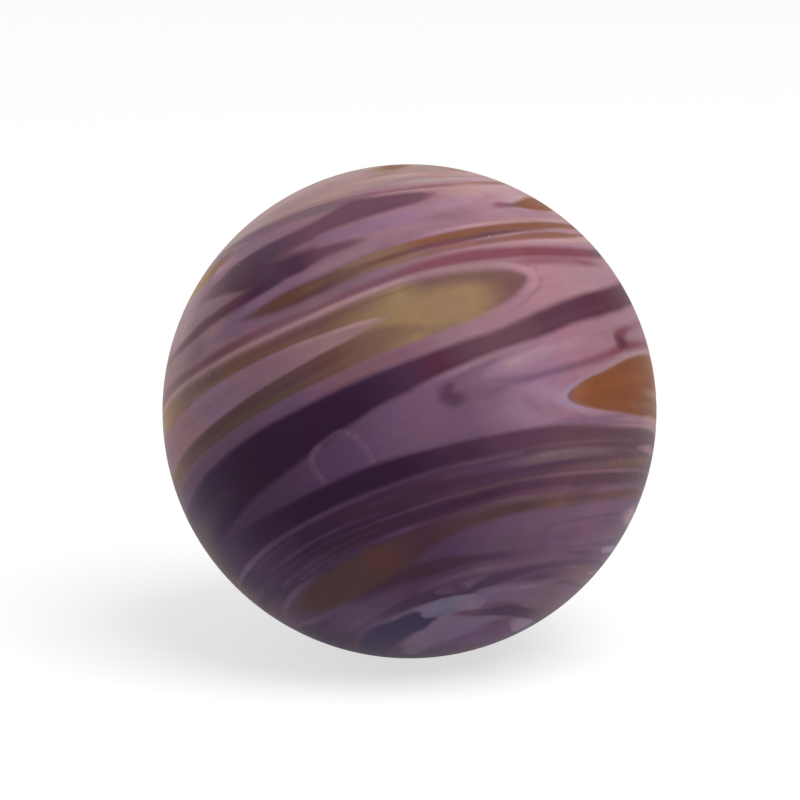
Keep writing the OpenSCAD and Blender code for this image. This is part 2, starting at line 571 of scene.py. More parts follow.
lay("shoulder_lens",
    [(49.5, 32.2, 0.4), (53, 32.1, 1.0), (58, 32.2, 2.0), (63, 32.7, 2.8), (69, 33.6, 3.1), (76, 34.8, 2.8),
     (90, 36, 2.7), (104, 36.5, 1.6), (112, 36.5, 0.6)],
    [(50, "peat", 0.8), (56, "russet"), (61, "burnt_amber"), (72, "ochre"), (95, "ochre"), (112, "rust")],
    soft=1.7)
count_ribbons()

# %% [markdown]
# ## The thin amber line and the raspberry stripe
#
# The amber starts as a long drop at the left, then splits into two threads
# with a dark red line between. A raspberry stripe runs below it.

# %% Lay the amber threads and the raspberry stripe
start_zone("amber_threads")
lay("lilac_beside_amber",
    [(-46, 23.6, 0.7), (-36, 22.6, 1.2), (-26, 21.4, 1.0), (-12, 20.4, 1.0), (0, 21.2, 0.8),
     (6, 21.6, 0.5)],
    [(-46, "mauve", 0.3), (-34, "mauve", 0.8), (-24, "mauve_taupe", 0.8), (-2, "mauve_taupe", 0.8),
     (6, "mauve", 0.2)], soft=1.8)
lay("amber_drop",
    [(-33, 24.1, 0.3), (-28, 23.8, 1.2), (-23, 23.7, 1.9), (-17, 23.6, 2.3), (-10, 23.6, 2.3),
     (-4, 23.9, 2.1), (2, 24.4, 2.1), (8, 24.8, 2.1), (14, 25.1, 1.6), (20, 25.2, 1.2)],
    [(-33, "peat", 0.6), (-27, "peat", 0.95), (-18, "peat"), (-8, "umber"), (0, "olive"), (8, "rust", 0.9),
     (20, "rust", 0.5)], soft=1.9)
lay("amber_drop_core", [(-29, 24.1, 0.3), (-22, 24.2, 0.7), (-12, 24.2, 0.8), (-4, 25.2, 0.5)],
    [(-29, "rust", 0.1), (-20, "rust", 0.15), (-12, "khaki", 0.3), (-4, "olive", 0.2)], soft=2.1)
lay("upper_amber_thread",
    [(-4, 25.6, 0.5), (4, 26.0, 0.9), (12, 25.9, 1.0), (20, 25.5, 1.2), (30, 25.3, 1.1), (42, 24.9, 1.0),
     (52, 24.6, 1.1), (62, 24.6, 1.0), (72, 25.3, 0.9), (90, 27.5, 0.9), (130, 30, 0.6)],
    [(-4, "tan", 0.5), (8, "tan"), (18, "rust"), (66, "rust"), (80, "russet"), (130, "rust", 0.2)],
    soft=1.1)
lay("pale_line_over_amber",
    [(16, 27.6, 0.3), (28, 27.3, 0.4), (40, 26.8, 0.45), (52, 26.5, 0.5), (64, 26.5, 0.5), (76, 27.4, 0.5)],
    [(16, "petal", 0.3), (34, "blush", 0.7), (52, "putty", 0.7), (64, "blush", 0.8), (76, "blush", 0.2)],
    soft=1.0)
lay("red_line_between",
    [(-2, 24.0, 0.5), (6, 24.2, 0.6), (14, 24.2, 0.7), (24, 23.8, 0.8), (36, 23.6, 0.8), (48, 23.4, 0.6),
     (58, 23.3, 0.3)],
    [(-2, "garnet", 0.1), (8, "chestnut", 0.6), (20, "garnet", 0.9), (40, "chestnut"), (52, "russet", 0.7),
     (58, "garnet", 0.2)], soft=1.1)
lay("lower_amber_thread",
    [(0, 22.9, 0.5), (8, 22.6, 0.8), (18, 22.4, 0.8), (28, 21.9, 0.8), (38, 21.4, 0.8), (48, 21.3, 1.0),
     (58, 21.1, 1.0), (66, 21.2, 0.8), (76, 22.6, 0.8), (95, 25, 0.7), (130, 26, 0.5)],
    [(0, "tan", 0.4), (10, "tan", 0.8), (24, "rust", 0.6), (40, "rust", 0.75), (60, "rust", 0.9),
     (90, "rust", 0.9), (130, "rust", 0.1)], soft=1.0)
lay("pale_line_under_amber",
    [(20, 20.9, 0.3), (34, 20.3, 0.4), (46, 19.7, 0.5), (60, 19.6, 0.6), (70, 20.6, 0.8), (82, 22.4, 0.9),
     (100, 24, 0.8)],
    [(20, "blush", 0.1), (40, "blush", 0.3), (60, "blush", 0.7), (80, "blush", 0.9), (100, "blush", 0.2)],
    soft=1.2)
lay("raspberry_stripe",
    [(-180, 19.5, 1.5), (-150, 20.2, 1.2), (-120, 20, 1.4), (-80, 19.8, 1.3), (-62, 19.6, 1.3),
     (-50, 19.1, 1.2), (-35, 18.9, 1.2), (-20, 18.5, 1.0), (-12, 18.0, 0.9), (-5, 18.4, 1.1),
     (8, 19.0, 1.1), (18, 19.0, 1.4), (26, 18.5, 1.7), (34, 17.7, 1.6), (44, 16.8, 1.5), (54, 16.0, 1.5),
     (64, 15.9, 1.4), (74, 16.8, 1.4), (84, 18.5, 1.3), (110, 20.5, 1.3), (145, 20.5, 1.2),
     (180, 19.5, 1.5)],
    [(-180, "wine", 0.9), (-120, "wine", 0.5), (-72, "rosewood", 0.45), (-60, "wine", 0.7),
     (-40, "wine", 0.9), (-22, "rosewood", 0.9), (0, "rosewood", 0.9), (13, "raspberry", 0.95),
     (21, "claret", 0.85), (36, "claret", 0.9), (64, "claret"), (76, "black_cherry", 0.9),
     (110, "wine", 0.7), (180, "wine", 0.9)], soft=1.8)
lay("second_rose_line",
    [(34, 14.6, 0.4), (39, 14.4, 0.9), (46, 14.0, 0.9), (56, 13.3, 1.0), (66, 12.9, 0.8), (76, 13.6, 0.5)],
    [(34, "raspberry", 0.2), (40, "raspberry", 0.7), (46, "raspberry", 0.8), (54, "raspberry", 0.6),
     (62, "raspberry"), (76, "raspberry", 0.1)], soft=2.3)
count_ribbons()

# %% [markdown]
# ## The olive lens
#
# The palest and largest ribbon is a drop of olive-tan glass. At the right it
# ends in a blunt tip with a pale thread round it. Its rim is browner than its
# heart, so the heart is a second ribbon on top, with a wide soft edge.

# %% Lay the olive lens
start_zone("olive_lens")
lay("pale_thread_round_tip",
    [(-140, 17.4, 0.4), (-75, 17.3, 0.7), (-60, 17.5, 0.6), (-45, 17.1, 0.5), (-30, 16.7, 0.7),
     (-15, 16.5, 0.8), (0, 17.0, 0.65), (10, 17.3, 0.65), (18, 16.9, 0.65), (25, 16.0, 0.7),
     (31, 15.1, 0.75), (36, 13.9, 0.8), (39.4, 12.3, 0.8), (40.6, 10.5, 0.7), (39.8, 8.7, 0.5),
     (37.5, 7.2, 0.3)],
    [(-140, "blush", 0.3), (-72, "shell"), (-50, "pale_rose", 0.8), (-25, "pale_rose", 0.8),
     (-10, "pale_rose", 0.9), (6, "pale_rose", 0.9), (13, "rose_ash"), (31, "rose_ash"),
     (37, "pale_rose", 0.7), (41, "pale_rose", 0.6)], soft=1.3)
lay("rose_line_outside_tip",
    [(22, 17.6, 0.25), (30, 16.4, 0.35), (37, 15.0, 0.4), (41.6, 12.8, 0.45), (42.6, 10.4, 0.45),
     (41.4, 8.2, 0.4), (38, 6.2, 0.4), (32, 3.6, 0.4), (24, 1.9, 0.3)],
    [(22, "old_rose", 0.4), (34, "dusty_rose", 0.8), (43, "dusty_rose", 0.7)], soft=1.0)
lay("olive_lens",
    [(-152, 10.5, 0.4), (-146, 10.4, 2.2), (-136, 10.2, 4.6), (-120, 9.6, 6.8), (-100, 9, 7.7),
     (-80, 8, 8.2), (-60, 8.9, 7.8), (-40, 8.9, 7.4), (-20, 8.8, 7.1), (0, 9.1, 7.0), (10, 9.3, 7.0),
     (18, 9.5, 6.2), (25, 9.6, 5.2), (30, 9.8, 4.3), (34, 10.1, 3.1), (36.5, 10.3, 1.9), (38.2, 10.4, 0.6)],
    [(-152, "cocoa"), (-130, "olive"), (-100, "honey"), (-79, "straw"), (-69, "putty"), (-57, "mushroom"),
     (-45, "rosewood_brown"), (-12, "rosewood_brown"), (0, "tan"), (7, "honey"), (14, "olive"),
     (24, "olive"), (32, "rosewood_brown"), (39, "cocoa")], soft=2.3)
lay("olive_heart",
    [(-4, 10.0, 0.8), (2, 10.2, 2.2), (8, 9.2, 3.6), (14, 8.0, 5.0), (20, 7.6, 4.8), (26, 8.0, 3.6),
     (30, 8.8, 2.0)],
    [(-4, "honey", 0.6), (3, "honey", 0.95), (14, "honey", 0.9), (23, "honey", 0.9), (30, "tan", 0.5)],
    soft=3.6)
lay("olive_gleam", [(-34, 2.9, 0.25), (-22, 3.2, 0.5), (-8, 3.9, 0.7), (0, 4.6, 0.5)],
    [(-34, "moss", 0.4), (-20, "moss", 0.7), (-6, "honey", 0.5), (0, "tan", 0.4)], soft=1.8)
count_ribbons()

# %% [markdown]
# ## The two arms and the tongue between them
#
# At the left a tongue of rose splits the olive lens into two arms. Thin veins
# of moss and rust run in the arms, and the tongue has one bright edge.

# %% Lay the arms and the tongue
lay("smoky_lower_arm",
    [(-100, -0.8, 2.4), (-75, 0.8, 2.4), (-60, 2.0, 2.4), (-48, 2.6, 2.6), (-36, 3.2, 2.8), (-24, 4.0, 2.8),
     (-12, 4.7, 2.9), (-4, 5.4, 2.4), (3, 5.6, 2.0), (9, 5.0, 0.8)],
    [(-100, "olive", 0.8), (-70, "mushroom", 0.9), (-60, "dull_mulberry", 0.9), (-51, "umber"),
     (-20, "umber"), (-12, "chestnut", 0.9), (-4, "olive", 0.7), (8, "olive", 0.5)], soft=2.1)
lay("lower_arm_moss_edge",
    [(-84, -1.2, 0.6), (-66, 0.6, 0.7), (-50, 1.5, 0.6), (-34, 2.3, 0.7), (-20, 2.7, 0.8), (-8, 3.2, 0.6)],
    [(-84, "tan", 0.5), (-60, "tan", 0.3), (-30, "moss", 0.4), (-8, "tan", 0.3)], soft=1.8)
lay("lower_arm_rust_vein",
    [(-66, 3.0, 0.3), (-48, 3.8, 0.4), (-32, 4.6, 0.5), (-18, 5.6, 0.5), (-6, 6.6, 0.3)],
    [(-66, "old_rose", 0.4), (-40, "chestnut", 0.2), (-6, "hazel", 0.2)], soft=1.0)
lay("upper_arm_vein",
    [(-70, 14.6, 0.3), (-52, 14.6, 0.4), (-34, 14.4, 0.5), (-18, 14.4, 0.5), (-2, 14.8, 0.4),
     (12, 15.0, 0.3)],
    [(-70, "putty", 0.6), (-50, "chestnut", 0.2), (-20, "umber", 0.2), (12, "umber", 0.3)], soft=1.0)
lay("upper_arm_moss",
    [(-60, 12.9, 0.3), (-44, 12.9, 0.4), (-26, 12.8, 0.5), (-10, 12.4, 0.6), (4, 12.2, 0.7)],
    [(-60, "putty", 0.4), (-30, "moss", 0.3), (-8, "honey", 0.2), (4, "honey", 0.4)], soft=1.1)
lay("rose_tongue",
    [(-130, 8.5, 3.5), (-80, 6.9, 4.6), (-60, 7.8, 4.0), (-45, 8.6, 3.8), (-35, 9.0, 3.3), (-25, 9.3, 2.9),
     (-15, 9.5, 2.3), (-8, 9.5, 1.7), (-3, 9.7, 1.1), (3, 9.8, 0.35)],
    [(-130, "dusty_rose"), (-78, "rose"), (-60, "rose"), (-45, "orchid"), (-28, "dusty_rose"),
     (-12, "rose_ash"), (-5, "rose_ash", 0.8), (2, "rose", 0.4)], soft=1.1)
lay("tongue_mauve_vein",
    [(-78, 7.6, 0.5), (-60, 8.0, 0.6), (-44, 8.6, 0.6), (-30, 9.2, 0.5), (-16, 9.8, 0.3)],
    [(-78, "old_rose", 0.5), (-50, "dusty_rose", 0.7), (-16, "mauve", 0.4)], soft=2.3)
lay("tongue_bright_edge",
    [(-40, 12.1, 0.3), (-28, 12.0, 0.35), (-15, 11.4, 0.4), (-5, 10.7, 0.4), (1, 10.2, 0.3)],
    [(-40, "rose", 0.2), (-22, "rose", 0.6), (-5, "pale_rose", 0.7), (2, "pale_rose", 0.7)])
lay("mauve_strip",
    [(-110, -6, 2.2), (-85, -4.9, 2.2), (-70, -4.0, 1.9), (-55, -2.1, 1.7), (-40, -0.8, 1.6),
     (-25, -0.3, 1.5), (-10, 0.1, 1.5), (0, 0.4, 1.5), (10, 0.8, 1.4), (18, 1.4, 1.4), (26, 2.4, 1.6)],
    [(-110, "heather", 0.6), (-85, "mauve", 0.9), (-68, "heather"), (-24, "heather"), (-12, "dull_rose"),
     (2, "dull_rose"), (11, "dusty_rose"), (20, "old_rose", 0.9), (26, "old_rose", 0.6)], soft=1.7)
count_ribbons()

# %% [markdown]
# ## The main plum ribbon
#
# The boldest ribbon crosses the whole face. It is nearly black at the left,
# where it is thickest, and thins to a wine-red band at the right.

# %% Lay the main plum ribbon
start_zone("main_plum")
lay("main_plum",
    [(-180, 2.5, 4.4), (-160, -3.5, 4.6), (-140, -8.5, 5.0), (-120, -12, 5.3), (-100, -13.6, 5.6),
     (-80, -12.5, 5.8), (-65, -11.9, 6.1), (-55, -10.5, 6.2), (-45, -9.1, 5.9), (-35, -8.1, 5.7),
     (-25, -7.1, 5.1), (-15, -6.0, 4.3), (-5, -5.0, 3.5), (5, -4.4, 3.2), (15, -3.5, 2.6), (25, -2.7, 2.35),
     (35, -1.6, 2.9), (45, 0.3, 2.9), (55, 1.7, 3.1), (65, 3.3, 3.0), (75, 5.4, 3.0), (90, 9.3, 3.1),
     (110, 12.6, 3.3), (130, 13, 3.6), (150, 10.5, 4.0), (165, 6.8, 4.3), (180, 2.5, 4.4)],
    [(-180, "plum"), (-140, "dusk"), (-75, "dusk"), (-62, "blue_plum"), (-45, "deep_plum"),
     (-10, "deep_plum"), (3, "plum"), (10, "black_cherry", 0.95), (14, "damson"), (22, "faded_damson"),
     (32, "faded_damson"), (38, "damson"), (46, "damson"), (58, "black_cherry"), (80, "black_cherry"),
     (115, "damson"), (150, "deep_plum"), (180, "plum")], soft=2)
lay("plum_left_ash",
    [(-98, -15.6, 1.2), (-82, -14.6, 2.0), (-70, -13.2, 2.4), (-58, -11.8, 1.6), (-48, -10.4, 0.6)],
    [(-98, "ash", 0.8), (-76, "ash", 0.7), (-64, "ash", 0.3), (-48, "blue_plum", 0.3)], soft=4)
lay("plum_right_vein", [(12, -4.4, 0.3), (20, -3.6, 0.6), (34, -2.2, 0.7), (48, -0.4, 0.6), (60, 1.6, 0.5)],
    [(12, "mulberry", 0.2), (24, "dull_plum", 0.6), (40, "faded_damson", 0.5), (60, "damson", 0.5)],
    soft=2.3)
count_ribbons()

# %% [markdown]
# ## The mauve field and its small marks
#
# Under the main ribbon lies a wide field of mauve that turns to pink at the
# right. Two faint crescents and an arch outline a small window of deeper mauve
# in it, a painted reflection of a window. Their edges are nearly smooth, so
# they have little rag.

# %% Lay the marks of the mauve field
start_zone("mauve_field")
# These four ribbons paint a reflection of a window on the glass: two crescents and an arch outline it,
# deeper mauve inside.
lay("painted_reflection_left_edge",
    [(-22, -11.6, 0.6), (-25, -12.8, 0.7), (-26.2, -15, 0.7), (-25.8, -17.5, 0.7), (-24.6, -20, 0.6)],
    [(-30, "heather"), (-20, "heather", 0.8)], soft=1.2, rag=0.3)
lay("painted_reflection_top_edge", [(-24.5, -11.8, 0.3), (-20, -10.9, 0.4), (-16, -10.5, 0.4), (-14, -11.6, 0.3)],
    [(-25, "heather", 0.5), (-14, "heather", 0.6)], soft=1.1, rag=0.3)
lay("painted_window_reflection", [(-22.5, -15.8, 2.4), (-18, -15.4, 3.6), (-15.5, -16, 3.2)],
    [(-26, "deep_mauve", 0.3), (-18, "deep_mauve", 0.5), (-12, "deep_mauve", 0.3)], soft=2.4)
lay("painted_reflection_right_edge", [(-15.5, -11.4, 0.5), (-13.4, -13, 0.6), (-12.6, -16, 0.65), (-12.2, -20, 0.6)],
    [(-16, "mauve", 0.45), (-11, "mauve", 0.45)], soft=1.2, rag=0.3)
count_ribbons()

# %% [markdown]
# ## The plum blob and the hook
#
# The field also carries a small plum blob with two threads, and a hook further
# right. Pale mottling shows where bubbles were smeared out.

# %% Lay the blob, the mottling and the hook
lay("pale_under_plum",
    [(2, -7.9, 0.4), (9, -7.2, 0.5), (15, -6.7, 0.6), (22, -6.0, 0.6), (32, -5.2, 0.6), (44, -3.9, 0.7)],
    [(2, "mauve", 0.3), (12, "orchid", 0.7), (20, "rose_ash", 0.8), (28, "rose_ash", 0.4),
     (44, "orchid", 0.2)], soft=1.7)
lay("blob_upper_thread",
    [(10, -9.6, 0.4), (14, -8.3, 0.45), (20, -7.3, 0.5), (28, -6.6, 0.5), (36, -5.6, 0.4)],
    [(10, "dull_plum", 0.8), (15, "heather", 0.9), (24, "heather", 0.6), (36, "heather", 0.1)], soft=1.7)
lay("blob_lower_thread",
    [(9.6, -13.0, 0.7), (14, -13.6, 1.0), (20, -13.4, 1.2), (26, -12.8, 1.0), (31, -12.6, 0.5)],
    [(10, "heather", 0.8), (20, "heather", 0.7), (31, "heather", 0.3)], soft=2.3)
lay("plum_blob", [(10.5, -9.8, 0.9), (9.0, -11.0, 1.6), (10, -12.4, 1.6), (13.4, -12.9, 1.0)],
    [(7, "mulberry", 0.8), (11, "plum", 0.8), (14, "wine", 0.5)], soft=2.4)
lay("bright_mottling",
    [(19, -9.5, 0.7), (24, -8.8, 1.6), (30, -8.2, 1.7), (38, -7.4, 1.2), (48, -6.6, 1.0)],
    [(19, "lavender", 0.3), (25, "petal", 0.45), (36, "pale_mauve", 0.8), (48, "pale_rose", 0.3)], soft=2.4)
lay("lower_mottling", [(25, -14, 1.0), (32, -15.5, 1.6), (36, -18, 1.6)],
    [(25, "orchid", 0.4), (36, "lavender", 0.5)], soft=3)
lay("field_cloud_low", [(12, -19.5, 0.8), (20, -19.2, 1.6), (28, -19.8, 1.4), (34, -21.4, 0.8)],
    [(14, "mauve", 0.1), (22, "lavender", 0.15), (34, "orchid", 0.3)], soft=2.6)
lay("field_dusk_patch", [(27, -17.0, 0.8), (29, -18.6, 1.2), (31, -20.6, 1.0)],
    [(26, "heather", 0.4), (32, "mauve", 0.4)], soft=2.2, rag=2.0)
lay("field_bright_fleck", [(24.6, -8.9, 0.3), (27.2, -8.2, 0.55), (29.4, -8.4, 0.3)],
    [(24, "blush", 0.5), (30, "blush", 0.5)], soft=1.0, rag=2.2)
lay("field_bright_fleck_b", [(31.4, -7.4, 0.25), (34, -6.9, 0.4), (36.4, -7.0, 0.2)],
    [(31, "blush", 0.4), (37, "blush", 0.3)], soft=1.0, rag=2.2)
lay("fine_plum_line",
    [(19.5, -10.0, 0.3), (21.5, -11.4, 0.4), (26, -12.4, 0.6), (34, -12.4, 0.7), (42, -12.0, 0.8),
     (50, -11.1, 0.9), (56, -10.1, 0.9), (62, -8.7, 0.9)],
    [(19, "heather", 0.2), (28, "heather", 0.8), (37, "heather", 0.9), (46, "rosewood", 0.9),
     (54, "raspberry", 0.9), (62, "claret")], soft=1.8)
lay("hook_upper_arm",
    [(61, -6.4, 1.6), (64, -5.2, 1.3), (68, -3.9, 0.8), (74, -2.6, 0.7), (82, -0.8, 0.6), (95, 2, 0.6)],
    [(60, "claret", 0.9), (66, "claret"), (72, "raspberry", 0.8), (95, "raspberry", 0.4)], soft=2.3)
lay("hook_lower_arm",
    [(61.5, -7.4, 1.8), (65, -7.8, 1.4), (70, -7.5, 1.1), (76, -6.7, 1.0), (85, -5.2, 0.9), (100, -3, 0.8)],
    [(60, "wine"), (63, "black_cherry"), (67, "claret"), (74, "claret"), (85, "raspberry", 0.8),
     (100, "raspberry", 0.5)], soft=2.3)
count_ribbons()

# %% [markdown]
# ## The amber lens
#
# The brightest glass is the amber that comes round from the right. A pale
# lavender skin lies round its tip, and a thin brown rim edges the amber.

# %% Lay the amber lens
start_zone("amber_lens")
lay("amber_halo",
    [(35.6, -18.8, 1.2), (41, -18.7, 2.9), (46, -18.9, 4.7), (54, -18.2, 5.6), (64, -17.2, 6.9),
     (76, -16.4, 8.2), (95, -15, 8.8), (120, -14, 7), (135, -14, 4)],
    [(34, "lavender", 0.75), (40, "lavender", 0.85), (46, "pale_mauve", 0.9), (58, "pale_rose", 0.45),
     (68, "pale_rose", 0.65), (90, "pale_rose", 0.8), (135, "rose", 0.5)], soft=1.8)
lay("amber_rim",
    [(39.8, -18.5, 1.2), (43.2, -18.5, 2.6), (48, -18.4, 3.7), (54, -18.3, 4.7), (62, -17.8, 6.0),
     (70, -17.2, 7.0), (80, -16.3, 7.5), (95, -15, 7.4), (115, -14, 5.6), (128, -14, 2.6), (134, -14, 0.8)],
    [(39, "rosewood"), (42, "hazel"), (48, "rust"), (134, "rust")], soft=1.0)
lay("amber_lens",
    [(41.2, -18.6, 0.9), (44.6, -18.6, 2.2), (50, -18.4, 3.3), (56, -18.2, 4.6), (64, -17.6, 5.8),
     (74, -16.8, 6.6), (90, -15.4, 6.8), (110, -14.2, 5.2), (122, -14, 3), (130, -14, 0.8)],
    [(41, "sienna"), (44, "sienna"), (49, "amber"), (62, "burnt_amber"), (76, "burnt_amber"),
     (94, "sienna"), (114, "tan"), (130, "rust")], soft=2.1)
lay("amber_mottle", [(56, -15.6, 0.5), (62, -15.9, 1.1), (70, -15.0, 1.0), (78, -13.6, 0.5)],
    [(56, "sienna", 0.3), (64, "sienna", 0.4), (78, "khaki", 0.2)], soft=2.2)
lay("amber_lower_glow", [(43, -19.4, 0.5), (50, -20.6, 0.9), (58, -21.6, 1.0), (66, -21.8, 0.8)],
    [(43, "rust", 0.5), (52, "amber", 0.7), (66, "rust", 0.5)], soft=2.6)
lay("amber_tail_streak", [(70, -18.6, 0.5), (76, -18.2, 0.8), (86, -17.4, 1.0), (100, -16, 0.9)],
    [(70, "honey", 0.2), (78, "honey", 0.7), (88, "pale_rose", 0.6), (100, "honey", 0.3)], soft=2.3)
lay("amber_tail_olive", [(64, -21.8, 0.5), (72, -21.4, 0.9), (84, -20.6, 1.2), (100, -19, 1.0)],
    [(64, "tan", 0.2), (74, "tan", 0.6), (100, "tan", 0.4)], soft=2.6)
lay("line_under_amber",
    [(54, -24.7, 0.4), (60, -24.9, 0.5), (68, -24.9, 0.7), (78, -24.4, 1.1), (95, -23.6, 1.1)],
    [(54, "rose", 0.3), (62, "rose", 0.8), (71, "rose_ash", 0.9), (77, "blush", 0.5), (95, "blush", 0.3)],
    soft=1.0)
lay("second_line_under_amber",
    [(52, -26.0, 0.3), (60, -26.3, 0.4), (70, -26.2, 0.4), (80, -25.9, 0.5), (95, -25.5, 0.5)],
    [(52, "rose", 0.2), (62, "rose", 0.8), (80, "pale_rose", 0.8), (95, "rose", 0.2)])
count_ribbons()

# %% [markdown]
# ## The second plum ribbon and the stripes below
#
# Under the mauve field the glass was combed into many thin threads, below one
# broad plum ribbon. The first pale hairline runs right under that ribbon.

# %% Lay the second plum ribbon and its threads
start_zone("second_plum")
lay("second_plum",
    [(-180, -24, 2.2), (-150, -22.6, 3.0), (-120, -22.6, 3.6), (-80, -22.5, 3.4), (-60, -22.6, 3.1),
     (-50, -22.5, 2.9), (-35, -22.5, 2.6), (-20, -22.6, 2.55), (-10, -22.9, 2.5), (0, -23.5, 2.4),
     (8, -24.2, 2.3), (16, -25.2, 2.4), (25, -26.0, 2.3), (35, -26.9, 2.4), (45, -27.9, 2.0),
     (55, -28.5, 1.7), (70, -28.6, 1.6), (85, -28.2, 1.5), (110, -27.6, 1.4), (145, -26, 1.7),
     (180, -24, 2.2)],
    [(-180, "plum"), (-120, "dusk", 0.8), (-78, "dusk", 0.9), (-68, "dusk"), (-50, "blue_plum"),
     (-34, "deep_plum"), (-5, "deep_plum"), (6, "plum"), (11, "plum"), (18, "mulberry"), (22, "mulberry"),
     (36, "dull_mulberry"), (80, "dull_mulberry"), (120, "damson", 0.9), (180, "plum")], soft=1.7)
lay("pale_hairline_a",
    [(-130, -27, 0.4), (-90, -27.2, 0.6), (-74, -27.0, 0.6), (-66, -26.7, 0.7), (-56, -26.3, 0.5),
     (-46, -25.9, 0.5), (-34, -25.8, 0.55), (-22, -25.8, 0.5), (-10, -26.2, 0.4), (2, -26.7, 0.4),
     (14, -27.7, 0.5), (24, -28.6, 0.5)],
    [(-130, "heather", 0.5), (-84, "lilac_grey", 0.9), (-66, "lilac_grey"), (-54, "thistle"),
     (-45, "deep_mauve"), (-36, "deep_mauve"), (-20, "dusk"), (2, "dusk", 0.8), (24, "ash_mauve", 0.4)])
lay("hair_right_a",
    [(10, -27.0, 0.2), (24, -28.0, 0.3), (40, -28.9, 0.35), (54, -29.6, 0.3), (66, -29.8, 0.2)],
    [(10, "mulberry", 0.5), (34, "ash_mauve", 0.4), (66, "dusty_rose", 0.3)], soft=0.8)
lay("dark_band_a",
    [(-60, -29.5, 1.6), (-40, -28.8, 1.6), (-20, -28.6, 1.5), (0, -30.2, 1.4), (12, -31.2, 0.8)],
    [(-60, "deep_mauve", 0.3), (-38, "blue_plum", 0.7), (-20, "plum", 0.8), (0, "plum", 0.7),
     (12, "plum", 0.3)], soft=2.1)
count_ribbons()

# %% [markdown]
# ## Hair-thin threads
#
# The finest threads are a twentieth of a millimetre wide: ribbons like the
# rest, with a half width of a fifth of a degree. A taupe thread and a wine one,
# a little wider, lie between them.

# %% Lay the hair-thin threads
lay("hair_a1", [(-64, -28.2, 0.2), (-50, -27.6, 0.3), (-40, -27.5, 0.2)],
    [(-64, "thistle", 0.4), (-40, "dusk", 0.6)], soft=0.8)
lay("hair_a4", [(-60, -31.0, 0.3), (-48, -30.6, 0.4), (-38, -30.2, 0.3), (-22, -30.2, 0.25)],
    [(-60, "thistle", 0.4), (-42, "thistle", 0.5), (-22, "dusk", 0.5)])
lay("hair_a5", [(-72, -32.2, 0.3), (-58, -32.6, 0.4), (-46, -32.4, 0.3), (-34, -31.8, 0.2)],
    [(-72, "deep_mauve", 0.6), (-34, "dusk", 0.5)])
lay("hair_a2", [(-18, -28.2, 0.2), (-12, -28.6, 0.25), (-4, -29.2, 0.2)],
    [(-18, "dusk", 0.7), (-4, "dusk", 0.4)], soft=0.7)
lay("hair_a3", [(-36, -30.2, 0.2), (-26, -30.5, 0.25), (-16, -31.0, 0.2)],
    [(-36, "dusk", 0.5), (-16, "dusk", 0.4)], soft=0.8)
lay("taupe_thread_a",
    [(2, -28.7, 0.5), (12, -29.4, 0.7), (22, -30.5, 1.1), (32, -31.0, 1.2), (42, -31.5, 1.1),
     (52, -32.1, 0.8), (60, -32.4, 0.4)],
    [(2, "deep_mauve", 0.3), (16, "deep_mauve", 0.8), (26, "ash_mauve", 0.9), (50, "ash_mauve"),
     (60, "ash_mauve", 0.2)], soft=2)
lay("hair_right_b", [(28, -30.2, 0.25), (44, -30.9, 0.35), (58, -31.6, 0.3), (72, -32.4, 0.3)],
    [(28, "taupe_rose", 0.2), (46, "rose_ash", 0.15), (60, "rose_ash", 0.2), (72, "taupe", 0.3)], soft=0.8)
lay("wine_thread_a",
    [(2, -31.4, 0.4), (12, -31.4, 0.5), (22, -32.1, 0.5), (32, -32.9, 0.5), (44, -33.4, 0.5),
     (54, -33.7, 0.5), (66, -33.6, 0.3)],
    [(2, "plum", 0.2), (18, "mulberry", 0.5), (36, "mulberry", 0.8), (50, "dull_mulberry", 0.7),
     (66, "mulberry", 0.2)])
count_ribbons()

# %% [markdown]
# ## The lower bands and hairlines
#
# Further down, a second taupe thread and a second dark band take turns with pale
# hairlines, where air was trapped between the rods. At the lower left they sink
# into a wide soft veil of taupe, a painted sheen of the ball's edge. A pale glint
# near the right edge is a painted highlight.

# %% Lay the lower bands and hairlines
lay("taupe_thread_b",
    [(14, -33.0, 0.4), (24, -33.8, 0.6), (36, -34.6, 0.6), (50, -35.0, 0.7), (66, -34.8, 1.1),
     (82, -33.5, 1.4)],
    [(14, "dusk", 0.4), (30, "dull_mulberry", 0.8), (50, "ash_mauve", 0.9), (62, "cocoa", 0.8),
     (72, "cocoa", 0.7), (84, "tan", 0.5)], soft=1.8)
lay("hair_right_c", [(30, -33.8, 0.2), (46, -34.4, 0.3), (60, -34.6, 0.35), (76, -33.8, 0.4)],
    [(30, "mulberry", 0.5), (52, "olive", 0.4), (76, "tan", 0.4)], soft=0.8)
# painted highlight: a pale glint of rose near the right edge of the ball
lay("painted_right_edge_glint", [(69, -31.2, 0.3), (75, -31.0, 0.7), (84, -30.6, 0.9), (96, -30, 0.6)],
    [(69, "rose", 0.3), (78, "rose", 0.8), (96, "rose", 0.2)], soft=1.0)
lay("pale_hairline_b",
    [(-36, -31.8, 0.3), (-24, -32.3, 0.35), (-12, -32.9, 0.45), (-5, -33.2, 0.4), (2, -33.4, 0.4),
     (10, -34.0, 0.5), (20, -34.4, 0.5), (28, -35.2, 0.35), (38, -35.9, 0.4), (50, -36.5, 0.4),
     (64, -36.7, 0.4), (76, -36.1, 0.4), (90, -35.6, 0.4)],
    [(-36, "dusk", 0.3), (-12, "dusk"), (1, "dull_mulberry", 0.8), (12, "dull_mulberry", 0.9),
     (22, "dull_mulberry", 0.95), (38, "dusty_rose", 0.6), (64, "dusty_rose", 0.8), (90, "dusty_rose", 0.3)],
    soft=0.7)
